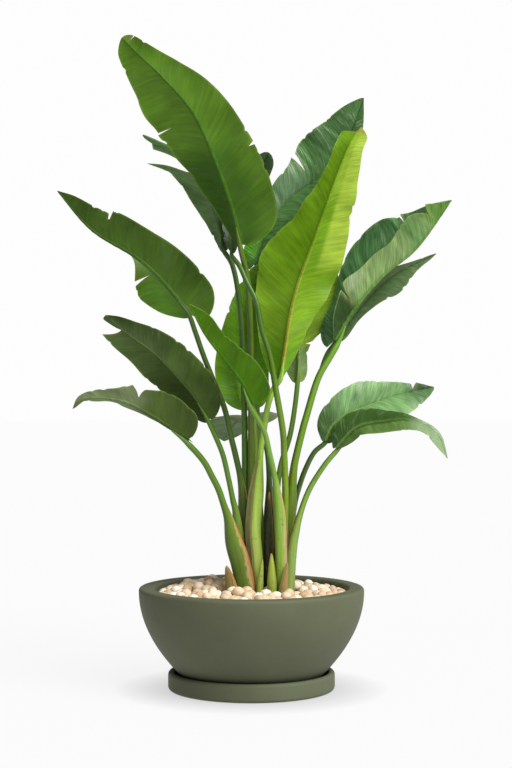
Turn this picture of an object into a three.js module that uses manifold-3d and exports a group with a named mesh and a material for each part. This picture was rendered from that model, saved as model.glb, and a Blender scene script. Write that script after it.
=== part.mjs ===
// Potted bird of paradise: a clump of sixteen large leaves in a bowl planter that stands on a saucer.
// Millimetres, +Z up, front towards -Y. The origin is on the ground, under the middle of the pot.

import * as THREE from "three";
import { mergeVertices } from "three/addons/utils/BufferGeometryUtils.js";
import Module from "manifold-3d";

const wasm = await Module();
wasm.setup();

// ---- driving dimensions -------------------------------------------------------------------------

const REST_GAP = 0.3; // between pieces that rest on or in each other
const WALL_GAP = 1; // between the pot's wall and what fills it
const GROWTH_GAP = 0.4; // between sheaths that clasp each other
const BLADE_GAP = 0.8; // between a blade and its own stalk
const HOLE_GAP = 2; // round a stalk, in the soil and the pebbles

const ROUND_SIDES = 32; // facets round the pot and the saucer

const SAUCER_RADIUS = 203.5;
const SAUCER_HEIGHT = 44;
const SAUCER_INNER_RADIUS = 187;
const SAUCER_FLOOR = 12;
const SAUCER_EDGE = 8; // radius of its rounded edges

const POT_FOOT = SAUCER_FLOOR + REST_GAP;
const POT_BASE_RADIUS = 150;
const POT_RIM_RADIUS = 275;
const POT_TOP = 248;
const POT_WALL = 28;
const POT_FLOOR = 38;
const POT_MOUTH_RADIUS = 236;
const RIM_EDGE = 8; // radius of the rim's rounded edges
const DRAIN_RADIUS = 12;

const SOIL_TOP = 222;
const STONE_SPACING = 31; // between the middles of neighbouring pebbles
const STONE_HEIGHT = 11; // of a pebble above the grooves round it
const STONE_SHOULDER = 0.72; // where a pebble turns over, as a part of its width and of its height
const STONE_SIZES = [0.75, 1.2]; // lowest and tallest pebble, as a part of the usual height
const STONE_WANDER = 9; // how far a pebble lies out of line, at most, from side to side
const GROOVE_EDGE_TOP = 232; // the grooves between the pebbles at the pot's wall
const GROOVE_RISE = 14; // the pebbles' mound round the plant
const STONE_SEED = 7;
const CLUMP = { x: 36, y: 2, halfWidth: 78, halfDepth: 66 }; // no pebbles lie among its stalks

const ROOT_DEPTH = 160; // height at which the stalks begin, in the soil
const STALK_SIDES = 8;
const BLADE_THICKNESS = 1.6;
const KEEL_DEPTH = 6; // the midrib stands out of the underside
const KEEL_HALF_WIDTH = 7;
const KEEL_PART = 0.35; // the widest part of half a blade that the keel may take
const ROW_SPACING = 42; // between the blades' cross sections
const END_ROUNDING = 0.1; // part of a blade's length over which its base and its tip are rounded
const BASE_WIDTH = 0.2; // what is left of its width at the very base
const VEIN_SWEEP = 0.22; // side veins lean towards the tip by this part of the half width
const LOBE_FADE = 5; // how soon a base lobe ends along the blade
const LEAST_TEAR = 0.05; // a tear opens only beyond this part of its depth
const LEAN_FADE = 125; // how far along the blade a leaning tear draws its neighbourhood with it

const SHEATH_TAPER = 130; // length over which a sheath narrows to the leaf stem
const STALK_REACH = 45; // how far the stalk runs on under the blade
const STALK_THINNING = 58; // length over which it thins out there
const STALK_END = 0.3; // what is left of its radius at the end
const STATION_SPACING = 72; // between the stalks' cross sections
const SHOOT_STATIONS = 6;
const SHOOT_TAPER = 2.6; // a shoot narrows over its last part, one divided by this
const SHOOT_FULLNESS = 0.6; // below 1 the sides of its pointed end are round
const SHOOT_END = 0.08; // what is left of its width at the tip

// ---- the leaves ----------------------------------------------------------------------------------
// root: where the stalk leaves the soil (X, Y).          stem: its way from the pebbles to the blade.
// sheath: half width, half depth, height where it has become a plain leaf stem.
// petiole: radius of that stem at its foot and at the blade.
// rib: the midrib from the blade's base to its tip.
// upper: the way the upper surface faces, at base and tip.
// left, right: the two halves of the blade. widths: at equal steps from base to tip. fold: how far it
// rises from flat, in degrees, at equal steps. lobe: how far it reaches back past the blade's base.
// tears: side (-1 left, 1 right), place along the blade, part of the half torn, width at the margin (gap),
// how far its edges are drawn towards the tip (lean), and what is left of the width past it (beyond).

const leaves = [
  {
    name: "middle_back",
    color: "#3f5a2e",
    root: [70, -5],
    stem: [[78, -8, 330], [83, -12, 460], [80, -20, 570], [76, -38, 632], [60, -56, 725], [45, -60, 810],
      [25, -60, 875], [12, -55, 940], [-9, -46, 985], [-28, -30, 1028]],
    sheath: [12, 11, 420],
    petiole: [10, 6],
    rib: [[-46, 0, 1062], [-50, 45, 1098], [-44, 75, 1150], [-22, 90, 1220], [14, 92, 1270], [43, 90, 1321]],
    upper: [[0.2, -0.9, 0.4], [0.3, -0.95, 0.1]],
    left: { widths: [10, 24, 36, 36, 30, 20], fold: [20, 12], lobe: 0 },
    right: { widths: [10, 20, 36, 38, 32, 22], fold: [20, 12], lobe: 0 },
  },
  {
    name: "top_left",
    color: "#4c7a26",
    root: [4, 38],
    stem: [[-2, 38, 330], [-3, 36, 455], [-1, 30, 630], [-1, 6, 800], [-4, -12, 915], [-10, -14, 1000]],
    sheath: [14, 12, 400],
    petiole: [9, 7],
    rib: [[-25, -12, 1082], [-52, -22, 1185], [-90, -30, 1290], [-142, -38, 1400], [-215, -38, 1485],
      [-280, -28, 1548], [-316, -12, 1587]],
    upper: [[0.4, 0.9, 0.18], [0.12, 0.98, 0.12]],
    left: { widths: [100, 110, 97, 74, 44, 22], fold: [18, 8], lobe: 5 },
    right: { widths: [20, 62, 100, 110, 75, 24], fold: [18, 8], lobe: 10 },
    tears: [{ side: -1, at: 0.33, depth: 0.14, gap: 9 }, { side: 1, at: 0.55, depth: 0.3, gap: 8 }],
  },
  {
    name: "behind_top_left",
    color: "#44602f",
    root: [-12, 42],
    stem: [[-14, 42, 330], [-16, 40, 455], [-17, 40, 605], [-22, 36, 840], [-32, 32, 960], [-47, 34, 1035]],
    sheath: [12, 11, 400],
    petiole: [9, 6],
    rib: [[-66, 44, 1072], [-84, 105, 1150], [-118, 150, 1250], [-185, 160, 1330], [-275, 135, 1372]],
    upper: [[0.3, 0.9, 0.25], [0.2, 0.95, 0.2]],
    left: { widths: [14, 30, 50, 40, 6, 4], fold: [30, 40], lobe: 0 },
    right: { widths: [14, 42, 72, 80, 48, 24], fold: [30, 30], lobe: 8 },
    tears: [{ side: 1, at: 0.62, depth: 0.7, gap: 4, lean: 100, beyond: 0.42 }],
  },
  {
    name: "top_right",
    color: "#3f6a3c",
    root: [30, 60],
    stem: [[26, 68, 330], [20, 80, 455], [14, 102, 655], [8, 114, 850], [6, 106, 975]],
    sheath: [12, 10, 400],
    petiole: [9, 6],
    rib: [[10, 92, 1045], [38, 108, 1130], [95, 124, 1210], [170, 132, 1265], [235, 132, 1348],
      [282, 118, 1462]],
    upper: [[-0.33, -0.87, 0.37], [-0.33, -0.87, 0.37]],
    left: { widths: [44, 36, 64, 97, 71, 18], fold: [25, 25], lobe: 20 },
    right: { widths: [30, 60, 75, 62, 34, 4], fold: [-5, -5], lobe: 10 },
    tears: [{ side: -1, at: 0.5, depth: 0.6, gap: 26, lean: -10 }],
  },
  {
    name: "broad_back",
    color: "#5f8f22",
    root: [12, 14],
    stem: [[12, 20, 330], [10, 30, 455], [9, 46, 580], [7, 58, 650]],
    sheath: [12, 10, 400],
    petiole: [8, 6],
    rib: [[5, 66, 690], [-15, 78, 780], [-13, 84, 865], [4, 86, 955], [40, 80, 1045]],
    upper: [[-0.1, -0.95, 0.2], [-0.1, -0.95, 0.2]],
    left: { widths: [62, 78, 66, 54, 42, 24], fold: [15, 15], lobe: 10 },
    right: { widths: [45, 60, 62, 60, 50, 20], fold: [15, 15], lobe: 10 },
  },
  {
    name: "behind_centre",
    color: "#6e9a3a",
    root: [52, 22],
    stem: [[56, 26, 330], [62, 32, 460], [72, 40, 540], [95, 52, 615], [108, 60, 690]],
    sheath: [11, 10, 400],
    petiole: [8, 6],
    rib: [[116, 68, 760], [120, 84, 850], [132, 96, 950], [148, 104, 1065], [162, 104, 1140]],
    upper: [[0.1, 0.95, 0.1], [0.1, 0.95, 0.1]],
    left: { widths: [26, 24, 68, 67, 40, 10], fold: [15, 15], lobe: 12 },
    right: { widths: [28, 44, 55, 50, 38, 10], fold: [15, 15], lobe: 15 },
    tears: [{ side: -1, at: 0.22, depth: 0.6, gap: 12, beyond: 1.28 }],
  },
  {
    name: "back",
    color: "#3d5532",
    root: [44, 66],
    stem: [[45, 76, 330], [45, 90, 455], [41, 110, 555], [31, 124, 605]],
    sheath: [16, 11, 520],
    petiole: [8, 6],
    rib: [[18, 138, 640], [-4, 205, 658], [-38, 280, 645], [-74, 350, 592]],
    upper: [[-0.1, -0.3, 0.95], [-0.1, 0.1, 0.95]],
    left: { widths: [40, 75, 82, 72, 50, 10], fold: [12, 8], lobe: 5 },
    right: { widths: [40, 78, 85, 75, 50, 10], fold: [12, 8], lobe: 5 },
  },
  {
    name: "upper_right",
    color: "#46703c",
    root: [88, 14],
    stem: [[92, 12, 330], [97, 8, 459], [103, 8, 532], [110, 10, 569], [125, 15, 630], [139, 20, 665],
      [168, 32, 755], [187, 40, 812]],
    sheath: [14, 12, 560],
    petiole: [10, 8],
    rib: [[207, 48, 850], [258, 58, 935], [328, 62, 1015], [408, 50, 1080], [493, 30, 1195]],
    upper: [[-0.69, -0.24, 0.68], [-0.69, -0.24, 0.68]],
    left: { widths: [54, 72, 122, 120, 66, 10], fold: [40, 60], lobe: 24 },
    right: { widths: [34, 76, 60, 72, 76, 14], fold: [42, 68, 70, 68, 60], lobe: 0 },
    tears: [{ side: 1, at: 0.22, depth: 0.85, gap: 14 }, { side: 1, at: 0.86, depth: 0.5, gap: 22 },
      { side: -1, at: 0.72, depth: 0.25, gap: 8 }],
  },
  {
    name: "narrow_right",
    color: "#4a6440",
    root: [92, 34],
    stem: [[94, 34, 330], [98, 33, 459], [104, 33, 532], [111, 35, 569], [126, 40, 630], [137, 45, 665],
      [166, 58, 755], [187, 66, 815]],
    sheath: [9, 9, 480],
    petiole: [7, 6],
    rib: [[212, 74, 850], [276, 88, 940], [350, 98, 1010], [463, 110, 1070]],
    upper: [[-0.05, -0.98, 0.1], [-0.05, -0.98, 0.1]],
    left: { widths: [20, 20, 25, 23, 10, 3], fold: [28, 28], lobe: 0 },
    right: { widths: [20, 20, 38, 50, 20, 3], fold: [28, 28], lobe: 0 },
  },
  {
    name: "middle_right_back",
    color: "#568248",
    root: [84, 52],
    stem: [[92, 54, 330], [106, 50, 440], [118, 45, 490], [134, 38, 535], [155, 32, 575]],
    sheath: [11, 10, 400],
    petiole: [8, 6],
    rib: [[183, 25, 604], [205, 28, 647], [248, 36, 676], [315, 50, 701], [374, 65, 718], [455, 90, 735]],
    upper: [[-0.3, -0.91, 0.2], [-0.17, -0.91, 0.38]],
    left: { widths: [22, 52, 62, 40, 22, 4], fold: [20, 20], lobe: 6 },
    right: { widths: [30, 52, 68, 72, 46, 14], fold: [20, 20], lobe: 5 },
    tears: [{ side: -1, at: 0.82, depth: 0.8, gap: 12 }],
  },
  {
    name: "upper_left",
    color: "#48702a",
    root: [-16, 14],
    stem: [[-18, 12, 330], [-20, 8, 447], [-26, 5, 508], [-39, 2, 569], [-54, -2, 630], [-68, -8, 690],
      [-112, -20, 800], [-136, -24, 868]],
    sheath: [14, 12, 540],
    petiole: [9, 6],
    rib: [[-150, -25, 912], [-215, -35, 992], [-280, -45, 1050], [-385, -50, 1115], [-470, -40, 1210]],
    upper: [[0.25, 0.93, 0.25], [0.58, 0.53, 0.62]],
    left: { widths: [84, 86, 74, 74, 54, 8], fold: [20, 25, 30, 33], lobe: 35 },
    right: { widths: [30, 82, 60, 50, 36, 6], fold: [0, 5, 65, 58, 45], lobe: 5 },
    tears: [{ side: 1, at: 0.3, depth: 0.7, gap: 11 },
      { side: -1, at: 0.64, depth: 0.3, gap: 8, beyond: 0.8 }],
  },
  {
    name: "middle_left",
    color: "#445a2c",
    root: [-24, -14],
    stem: [[-28, -17, 330], [-37, -20, 425], [-45, -23, 461], [-55, -26, 510], [-69, -30, 570],
      [-88, -38, 618]],
    sheath: [13, 10, 480],
    petiole: [8, 6],
    rib: [[-107, -45, 660], [-147, -60, 722], [-225, -70, 808], [-300, -70, 865], [-352, -60, 908]],
    upper: [[0.06, 0.99, 0.06], [0.06, 0.99, 0.06]],
    left: { widths: [50, 72, 66, 54, 34, 8], fold: [22, 15], lobe: 10 },
    right: { widths: [24, 50, 62, 56, 45, 26], fold: [22, 15], lobe: 10 },
    tears: [{ side: 1, at: 0.85, depth: 0.9, gap: 16, lean: 34, beyond: 0.3 }],
  },
  {
    name: "centre",
    color: "#7aa52a",
    root: [10, -22],
    stem: [[9, -25, 315], [4, -26, 388], [11, -25, 473], [21, -25, 570], [30, -22, 631], [40, -20, 690],
      [56, -17, 735]],
    sheath: [19, 14, 590],
    petiole: [8, 7],
    rib: [[71, -15, 757], [104, -8, 950], [156, 2, 1100], [205, 10, 1240], [238, 22, 1325], [262, 44, 1368]],
    upper: [[0, 0.98, 0.05], [0, 0.98, 0.05]],
    left: { widths: [8, 58, 94, 78, 56, 34], fold: [25, 25], lobe: 5 },
    right: { widths: [40, 90, 120, 66, 36, 38], fold: [25, 25], lobe: 8 },
  },
  {
    name: "front",
    color: "#528a1c",
    root: [70, -42],
    stem: [[71, -44, 330], [68, -45, 410], [64, -46, 463], [58, -48, 511], [45, -60, 572], [30, -72, 632]],
    sheath: [14, 12, 540],
    petiole: [8, 6],
    rib: [[2, -90, 695], [-25, -104, 750], [-72, -124, 812], [-112, -144, 866], [-145, -165, 930]],
    upper: [[0.68, 0.57, 0.45], [0.68, 0.57, 0.45]],
    left: { widths: [60, 60, 52, 40, 34, 6], fold: [35, 35], lobe: 5 },
    right: { widths: [40, 55, 50, 40, 30, 6], fold: [35, 35], lobe: 5 },
  },
  {
    name: "middle_right_front",
    color: "#4f7d34",
    root: [92, -24],
    stem: [[98, -25, 330], [108, -26, 388], [121, -27, 437], [138, -28, 482], [158, -32, 518],
      [184, -37, 556]],
    sheath: [12, 10, 450],
    petiole: [9, 6],
    rib: [[208, -42, 590], [255, -60, 640], [320, -80, 655], [380, -100, 658], [438, -115, 628],
      [465, -120, 567]],
    upper: [[-0.05, -0.75, 0.65], [0.4, -0.6, 0.7]],
    left: { widths: [30, 46, 32, 10, 9, 3], fold: [5, 10], lobe: 10 },
    right: { widths: [10, 34, 47, 43, 36, 4], fold: [5, 10], lobe: 5 },
  },
  {
    name: "lower_left",
    color: "#4e6a2a",
    root: [-10, -50],
    stem: [[-26, -55, 306], [-43, -58, 364], [-54, -60, 415], [-66, -62, 451], [-78, -64, 487],
      [-94, -70, 520], [-116, -79, 560]],
    sheath: [23, 14, 460],
    petiole: [10, 7],
    rib: [[-152, -90, 610], [-245, -110, 672], [-310, -130, 703], [-390, -150, 710], [-420, -155, 685]],
    upper: [[0.46, 0.53, 0.71], [0.06, 0.77, 0.64]],
    left: { widths: [70, 76, 60, 34, 18, 3], fold: [32, 25], lobe: 5 },
    right: { widths: [50, 60, 55, 40, 20, 3], fold: [32, 25], lobe: 15 },
    tears: [{ side: -1, at: 0.47, depth: 0.5, gap: 24, beyond: 0.9 }],
  },
];

// Young shoots and old sheaths at the foot of the clump: foot, tip, half width and half depth.
const shoots = [
  { name: "old_sheath_left", color: "#8a7a3e", foot: [-44, -58], tip: [-60, -64, 306], size: [15, 8] },
  { name: "shoot_pale", color: "#8fb13c", foot: [18, -62], tip: [27, -60, 322], size: [8, 7] },
  { name: "shoot_spear", color: "#8cb03a", foot: [49, -66], tip: [48, -66, 336], size: [11, 9] },
  { name: "old_sheath_right", color: "#93a35a", foot: [74, -70], tip: [86, -66, 314], size: [11, 7] },
  { name: "shoot_dark", color: "#3f5a20", foot: [40, -8], tip: [43, -10, 480], size: [12, 8] },
];

const STALK_COLOR = "#5f8f35";
const POT_COLOR = "#64684f";
const SOIL_COLOR = "#3b2a1e";
const PEBBLE_COLOR = "#e3cdb0";

// ---- solids --------------------------------------------------------------------------------------

/** A closed mesh as a solid that can be joined and cut. */
function toSolid(geometry) {
  geometry.deleteAttribute("normal");
  geometry.deleteAttribute("uv");
  const merged = mergeVertices(geometry, 1e-3);
  const index = merged.index.array;
  const triangles = [];
  for (let i = 0; i < index.length; i += 3) {
    const [a, b, c] = index.slice(i, i + 3);
    if (a !== b && b !== c && c !== a) triangles.push(a, b, c);
  }
  return new wasm.Manifold(new wasm.Mesh({
    numProp: 3,
    vertProperties: merged.attributes.position.array,
    triVerts: Uint32Array.from(triangles),
  }));
}

/** Positions and corner numbers as a geometry. */
function meshGeometry(positions, index) {
  const geometry = new THREE.BufferGeometry();
  geometry.setAttribute("position", new THREE.Float32BufferAttribute(positions, 3));
  geometry.setIndex(index);
  return geometry;
}

/** The largest of the pieces that a cut leaves. */
function largestPiece(solid) {
  const pieces = solid.decompose();
  return pieces.reduce((best, piece) => (piece.volume() > best.volume() ? piece : best));
}

function boxesMeet(a, b) {
  const first = a.boundingBox();
  const second = b.boundingBox();
  return [0, 1, 2].every((axis) => first.min[axis] < second.max[axis] && second.min[axis] < first.max[axis]);
}

/** Cuts a solid by each cutter that reaches it. */
function cutBy(solid, cutters) {
  const near = cutters.filter((cutter) => boxesMeet(solid, cutter));
  if (near.length === 0) return solid;
  return largestPiece(solid.subtract(wasm.Manifold.union(near)));
}

/** A profile in the (radius, height) plane, turned round the Z axis. */
function turned(profile, arcSteps = 2) {
  const geometry = new THREE.LatheGeometry(profile.getPoints(arcSteps), ROUND_SIDES);
  geometry.rotateX(Math.PI / 2);
  return toSolid(geometry);
}

/** Numbers from 0 to 1 in a fixed order. */
function seededRandom(seed) {
  let state = seed;
  return () => {
    state = (Math.imul(state, 1664525) + 1013904223) >>> 0;
    return state / 2 ** 32;
  };
}

const mix = THREE.MathUtils.lerp;
const radians = THREE.MathUtils.degToRad;

// ---- saucer, pot, soil and pebbles ---------------------------------------------------------------

function makeSaucer() {
  const r = SAUCER_EDGE;
  const inside = SAUCER_INNER_RADIUS;
  const lip = (SAUCER_RADIUS - inside) / 2;
  const profile = new THREE.Path();
  profile.moveTo(0, 0);
  profile.lineTo(SAUCER_RADIUS - r, 0);
  profile.absarc(SAUCER_RADIUS - r, r, r, -Math.PI / 2, 0);
  profile.absarc(SAUCER_RADIUS - lip, SAUCER_HEIGHT - lip, lip, 0, Math.PI);
  profile.lineTo(inside, SAUCER_FLOOR);
  profile.lineTo(0, SAUCER_FLOOR);
  return turned(profile);
}

/** The bowl's outer radius at a height: a parabola from its base to its rim. */
function bowlRadius(z) {
  const rise = THREE.MathUtils.clamp((z - POT_FOOT) / (POT_TOP - RIM_EDGE - POT_FOOT), 0, 1);
  return mix(POT_BASE_RADIUS, POT_RIM_RADIUS, 1 - (1 - rise) ** 2);
}

function cavityRadius(z) {
  return Math.min(bowlRadius(z) - POT_WALL, POT_MOUTH_RADIUS);
}

const WALL_HEIGHTS = [POT_FOOT, 30, 52, 80, 115, 155, 200, POT_TOP - RIM_EDGE];
const CAVITY_HEIGHTS = [172, 135, 100, 70, POT_FLOOR];

function makePot() {
  const r = RIM_EDGE;
  const profile = new THREE.Path();
  profile.moveTo(DRAIN_RADIUS, POT_FOOT);
  WALL_HEIGHTS.forEach((z) => profile.lineTo(bowlRadius(z), z));
  profile.absarc(POT_RIM_RADIUS - r, POT_TOP - r, r, 0, Math.PI / 2);
  profile.absarc(POT_MOUTH_RADIUS + r, POT_TOP - r, r, Math.PI / 2, Math.PI);
  CAVITY_HEIGHTS.forEach((z) => profile.lineTo(cavityRadius(z), z));
  profile.lineTo(DRAIN_RADIUS, POT_FLOOR);
  profile.lineTo(DRAIN_RADIUS, POT_FOOT);
  return turned(profile);
}

function makeSoil(holes) {
  const heights = [...CAVITY_HEIGHTS].reverse();
  const profile = new THREE.Path();
  profile.moveTo(0, POT_FLOOR + REST_GAP);
  heights.forEach((z, i) => profile.lineTo(cavityRadius(z) - WALL_GAP, i === 0 ? z + REST_GAP : z));
  profile.lineTo(POT_MOUTH_RADIUS - WALL_GAP, SOIL_TOP);
  profile.lineTo(0, SOIL_TOP);
  return cutBy(turned(profile), holes);
}

function grooveTop(radius) {
  const across = Math.min(radius / POT_MOUTH_RADIUS, 1);
  return GROOVE_EDGE_TOP + GROOVE_RISE * Math.cos((across * Math.PI) / 2);
}

function amongStalks({ x, y }) {
  return Math.hypot((x - CLUMP.x) / CLUMP.halfWidth, (y - CLUMP.y) / CLUMP.halfDepth) < 1;
}

/** Pebbles as domes in a staggered pattern, each a little out of line, with grooves between them. */
function makePebbles(holes) {
  const random = seededRandom(STONE_SEED);
  const rowSpacing = (STONE_SPACING * Math.sqrt(3)) / 2;
  const reach = Math.ceil(POT_MOUTH_RADIUS / rowSpacing) + 2;
  const middles = new Map();
  for (let row = -reach; row <= reach; row += 1) {
    for (let column = -reach; column <= reach; column += 1) {
      const x = (column + (row & 1) / 2) * STONE_SPACING + (random() - 0.5) * STONE_WANDER;
      const y = row * rowSpacing + (random() - 0.5) * STONE_WANDER;
      middles.set(`${column},${row}`, { x, y, height: STONE_HEIGHT * mix(...STONE_SIZES, random()) });
    }
  }
  const positions = [];
  const index = [];
  const known = new Map();
  const addPoint = (key, x, y, lift) => {
    if (!known.has(key)) {
      positions.push(x, y, grooveTop(Math.hypot(x, y)) + lift);
      known.set(key, known.size);
    }
    return known.get(key);
  };
  const corner = (names) => {
    const meeting = names.map((name) => middles.get(name));
    const x = meeting.reduce((sum, m) => sum + m.x, 0) / 3;
    const y = meeting.reduce((sum, m) => sum + m.y, 0) / 3;
    return { key: [...names].sort().join(" "), x, y };
  };
  for (let row = 1 - reach; row < reach; row += 1) {
    for (let column = 1 - reach; column < reach; column += 1) {
      const name = `${column},${row}`;
      const middle = middles.get(name);
      if (amongStalks(middle)) continue;
      const shifted = column + (row & 1);
      const around = [[column + 1, row], [shifted, row + 1], [shifted - 1, row + 1], [column - 1, row],
        [shifted - 1, row - 1], [shifted, row - 1]].map((place) => place.join(","));
      const top = addPoint(name, middle.x, middle.y, middle.height);
      const corners = around.map((other, i) => corner([name, other, around[(i + 1) % 6]]));
      const foot = corners.map(({ key, x, y }) => addPoint(key, x, y, 0));
      const shoulder = corners.map(({ key, x, y }) => {
        const [px, py] = [mix(middle.x, x, STONE_SHOULDER), mix(middle.y, y, STONE_SHOULDER)];
        return addPoint(`${name}|${key}`, px, py, middle.height * STONE_SHOULDER);
      });
      for (let i = 0; i < 6; i += 1) {
        const j = (i + 1) % 6;
        index.push(top, shoulder[i], shoulder[j]);
        index.push(shoulder[i], foot[i], foot[j], shoulder[i], foot[j], shoulder[j]);
      }
    }
  }
  const drum = new THREE.Path();
  const radius = POT_MOUTH_RADIUS - WALL_GAP;
  const above = 2 * POT_TOP;
  drum.moveTo(0, SOIL_TOP + REST_GAP);
  drum.lineTo(radius, SOIL_TOP + REST_GAP);
  drum.lineTo(radius, above);
  drum.lineTo(0, above);
  return cutBy(turned(drum).intersect(makeGround(positions, index)), holes);
}

/** A closed block under an open surface, down to the pot's floor. */
function makeGround(positions, index) {
  const count = positions.length / 3;
  const floor = positions.map((value, i) => (i % 3 === 2 ? POT_FLOOR : value));
  const edges = new Map();
  const closed = [];
  for (let i = 0; i < index.length; i += 3) {
    const [a, b, c] = index.slice(i, i + 3);
    closed.push(a, b, c, a + count, c + count, b + count);
    [[a, b], [b, c], [c, a]].forEach(([from, to]) => {
      if (!edges.delete(`${to},${from}`)) edges.set(`${from},${to}`, [from, to]);
    });
  }
  edges.forEach(([a, b]) => closed.push(b, a, a + count, b, a + count, b + count));
  return toSolid(meshGeometry([...positions, ...floor], closed));
}

// ---- blades --------------------------------------------------------------------------------------

function smoothCurve(points) {
  return new THREE.CatmullRomCurve3(points.map((p) => new THREE.Vector3(...p)), false, "catmullrom");
}

/** Place, direction and upper normal of the midrib at a distance along it. */
function ribFrame(leaf, along) {
  leaf.ribCurve ??= smoothCurve(leaf.rib);
  const length = leaf.ribCurve.getLength();
  const u = THREE.MathUtils.clamp(along / length, 0, 1);
  const forward = leaf.ribCurve.getTangentAt(u);
  const place = leaf.ribCurve.getPointAt(u).addScaledVector(forward, Math.min(along, 0));
  const faceBase = new THREE.Vector3(...leaf.upper[0]);
  const normal = faceBase.lerp(new THREE.Vector3(...leaf.upper[1]), u);
  normal.addScaledVector(forward, -normal.dot(forward)).normalize();
  const right = new THREE.Vector3().crossVectors(forward, normal);
  return { place, forward, normal, right };
}

/** The width of half a blade at a part of its length, with a rounded base and a rounded tip. */
function halfWidth(half, v) {
  half.margin ??= smoothCurve(half.widths.map((width, i) => [i, width, 0]));
  const [base, tip] = [v, 1 - v].map((part) => Math.sqrt(1 - (1 - Math.min(part / END_ROUNDING, 1)) ** 2));
  return half.margin.getPoint(v).y * mix(BASE_WIDTH, 1, base) * tip;
}

/** The value, at a part of the length, of a list of values at equal steps. */
function valueAt(values, v) {
  const place = v * (values.length - 1);
  const step = Math.min(Math.floor(place), values.length - 2);
  return mix(values[step], values[step + 1], place - step);
}

/** How far a tear is open, from 0 to 1, at a part of the way from the midrib to the margin. */
function opening(tear, s) {
  return THREE.MathUtils.clamp((s - (1 - tear.depth)) / tear.depth, 0, 1);
}

/** A point of a blade: side -1 or 1, v from base to tip, s from the midrib to the margin. */
function bladePoint(leaf, side, v, s, grow, tearShift = 0) {
  const half = side < 0 ? leaf.left : leaf.right;
  const length = leaf.ribCurve.getLength();
  let reach = halfWidth(half, v) + grow;
  let shift = tearShift;
  (leaf.tears ?? []).filter((tear) => tear.side === side).forEach((tear) => {
    const away = Math.abs(v - tear.at) * length;
    shift += (tear.lean ?? 0) * opening(tear, s) * Math.max(0, 1 - away / LEAN_FADE);
    if (v > tear.at || (v === tear.at && tearShift > 0)) reach *= tear.beyond ?? 1;
  });
  const sweep = VEIN_SWEEP * Math.max(...half.widths) * Math.sin(Math.PI * v);
  const nearBase = (1 - v) ** LOBE_FADE;
  const along = length * v + (sweep - half.lobe * nearBase + shift) * s - 2 * grow * nearBase;
  const frame = ribFrame(leaf, along);
  const fold = radians(valueAt(half.fold, v));
  return frame.place
    .addScaledVector(frame.right, side * reach * s * Math.cos(fold))
    .addScaledVector(frame.normal, reach * s * Math.sin(fold));
}

/** Cross sections of a blade, with one at each tear. */
function bladeRows(leaf) {
  const count = Math.round(leaf.ribCurve.getLength() / ROW_SPACING);
  const rows = Array.from({ length: count + 1 }, (_, i) => i / count);
  (leaf.tears ?? []).forEach((tear) => {
    const nearest = Math.round(tear.at * count);
    rows[nearest] = tear.at;
  });
  return rows;
}

/** The blade's middle surface: points, triangles seen from above, and how deep the keel is at each. */
function bladeSheet(leaf, grow) {
  ribFrame(leaf, 0);
  const points = [];
  const keel = [];
  const triangles = [];
  const rows = bladeRows(leaf);
  const last = rows.length - 1;
  const addPoint = (point, depth = 0) => {
    keel.push(depth);
    return points.push(point) - 1;
  };
  const keelDepth = (v) => KEEL_DEPTH * Math.min((1 + 9 * v) / 3, 1) * Math.sqrt(1 - v);
  const spine = rows.map((v) => addPoint(bladePoint(leaf, 1, v, 0, grow), keelDepth(v)));

  [-1, 1].forEach((side) => {
    const half = side < 0 ? leaf.left : leaf.right;
    const ribs = rows.map((v, i) => {
      if (i === last) {
        const tip = Array(4).fill(spine[last]);
        return { toBase: tip, toTip: tip };
      }
      const keelEdge = Math.min(KEEL_HALF_WIDTH / halfWidth(half, v), KEEL_PART);
      const columns = [keelEdge, (1 + keelEdge) / 2, 1];
      const toBase = [spine[i], ...columns.map((s) => addPoint(bladePoint(leaf, side, v, s, grow)))];
      const tear = (leaf.tears ?? []).find((t) => t.side === side && t.at === v);
      if (!tear) return { toBase, toTip: toBase };
      const toTip = [...toBase];
      columns.forEach((s, j) => {
        const open = opening(tear, s);
        if (open <= LEAST_TEAR) return;
        points[toBase[j + 1]] = bladePoint(leaf, side, v, s, grow, -tear.gap * open * 0.5);
        toTip[j + 1] = addPoint(bladePoint(leaf, side, v, s, grow, tear.gap * open * 0.5));
      });
      return { toBase, toTip };
    });
    for (let i = 0; i < last; i += 1) {
      const near = ribs[i].toTip;
      const far = ribs[i + 1].toBase;
      for (let j = 0; j < 3; j += 1) {
        const quad = side > 0
          ? [near[j], near[j + 1], far[j + 1], far[j]]
          : [near[j], far[j], far[j + 1], near[j + 1]];
        triangles.push([quad[0], quad[1], quad[2]], [quad[0], quad[2], quad[3]]);
      }
    }
  });
  return { points, keel, triangles: triangles.filter(([a, b, c]) => a !== b && b !== c && c !== a) };
}

/** Gives the middle surface its thickness, both faces split into triangles alike, and walls round it. */
function makeBlade(leaf, grow = 0) {
  const { points, keel, triangles } = bladeSheet(leaf, grow);
  const normals = points.map(() => new THREE.Vector3());
  const edges = new Map();
  triangles.forEach(([a, b, c]) => {
    const normal = new THREE.Triangle(points[a], points[b], points[c]).getNormal(new THREE.Vector3());
    [[a, b], [b, c], [c, a]].forEach(([from, to]) => {
      normals[from].add(normal);
      if (!edges.delete(`${to},${from}`)) edges.set(`${from},${to}`, [from, to]);
    });
  });
  const half = BLADE_THICKNESS / 2 + grow;
  const top = points.map((p, i) => p.clone().addScaledVector(normals[i].normalize(), half));
  const under = points.map((p, i) => p.clone().addScaledVector(normals[i], -half - keel[i]));
  const below = points.length;
  const index = [];
  triangles.forEach(([a, b, c]) => index.push(a, b, c, a + below, c + below, b + below));
  edges.forEach(([a, b]) => index.push(b, a, a + below, b, a + below, b + below));
  const positions = [...top, ...under].flatMap((p) => p.toArray());
  return toSolid(meshGeometry(positions, index));
}

// ---- stalks and shoots ---------------------------------------------------------------------------

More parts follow.
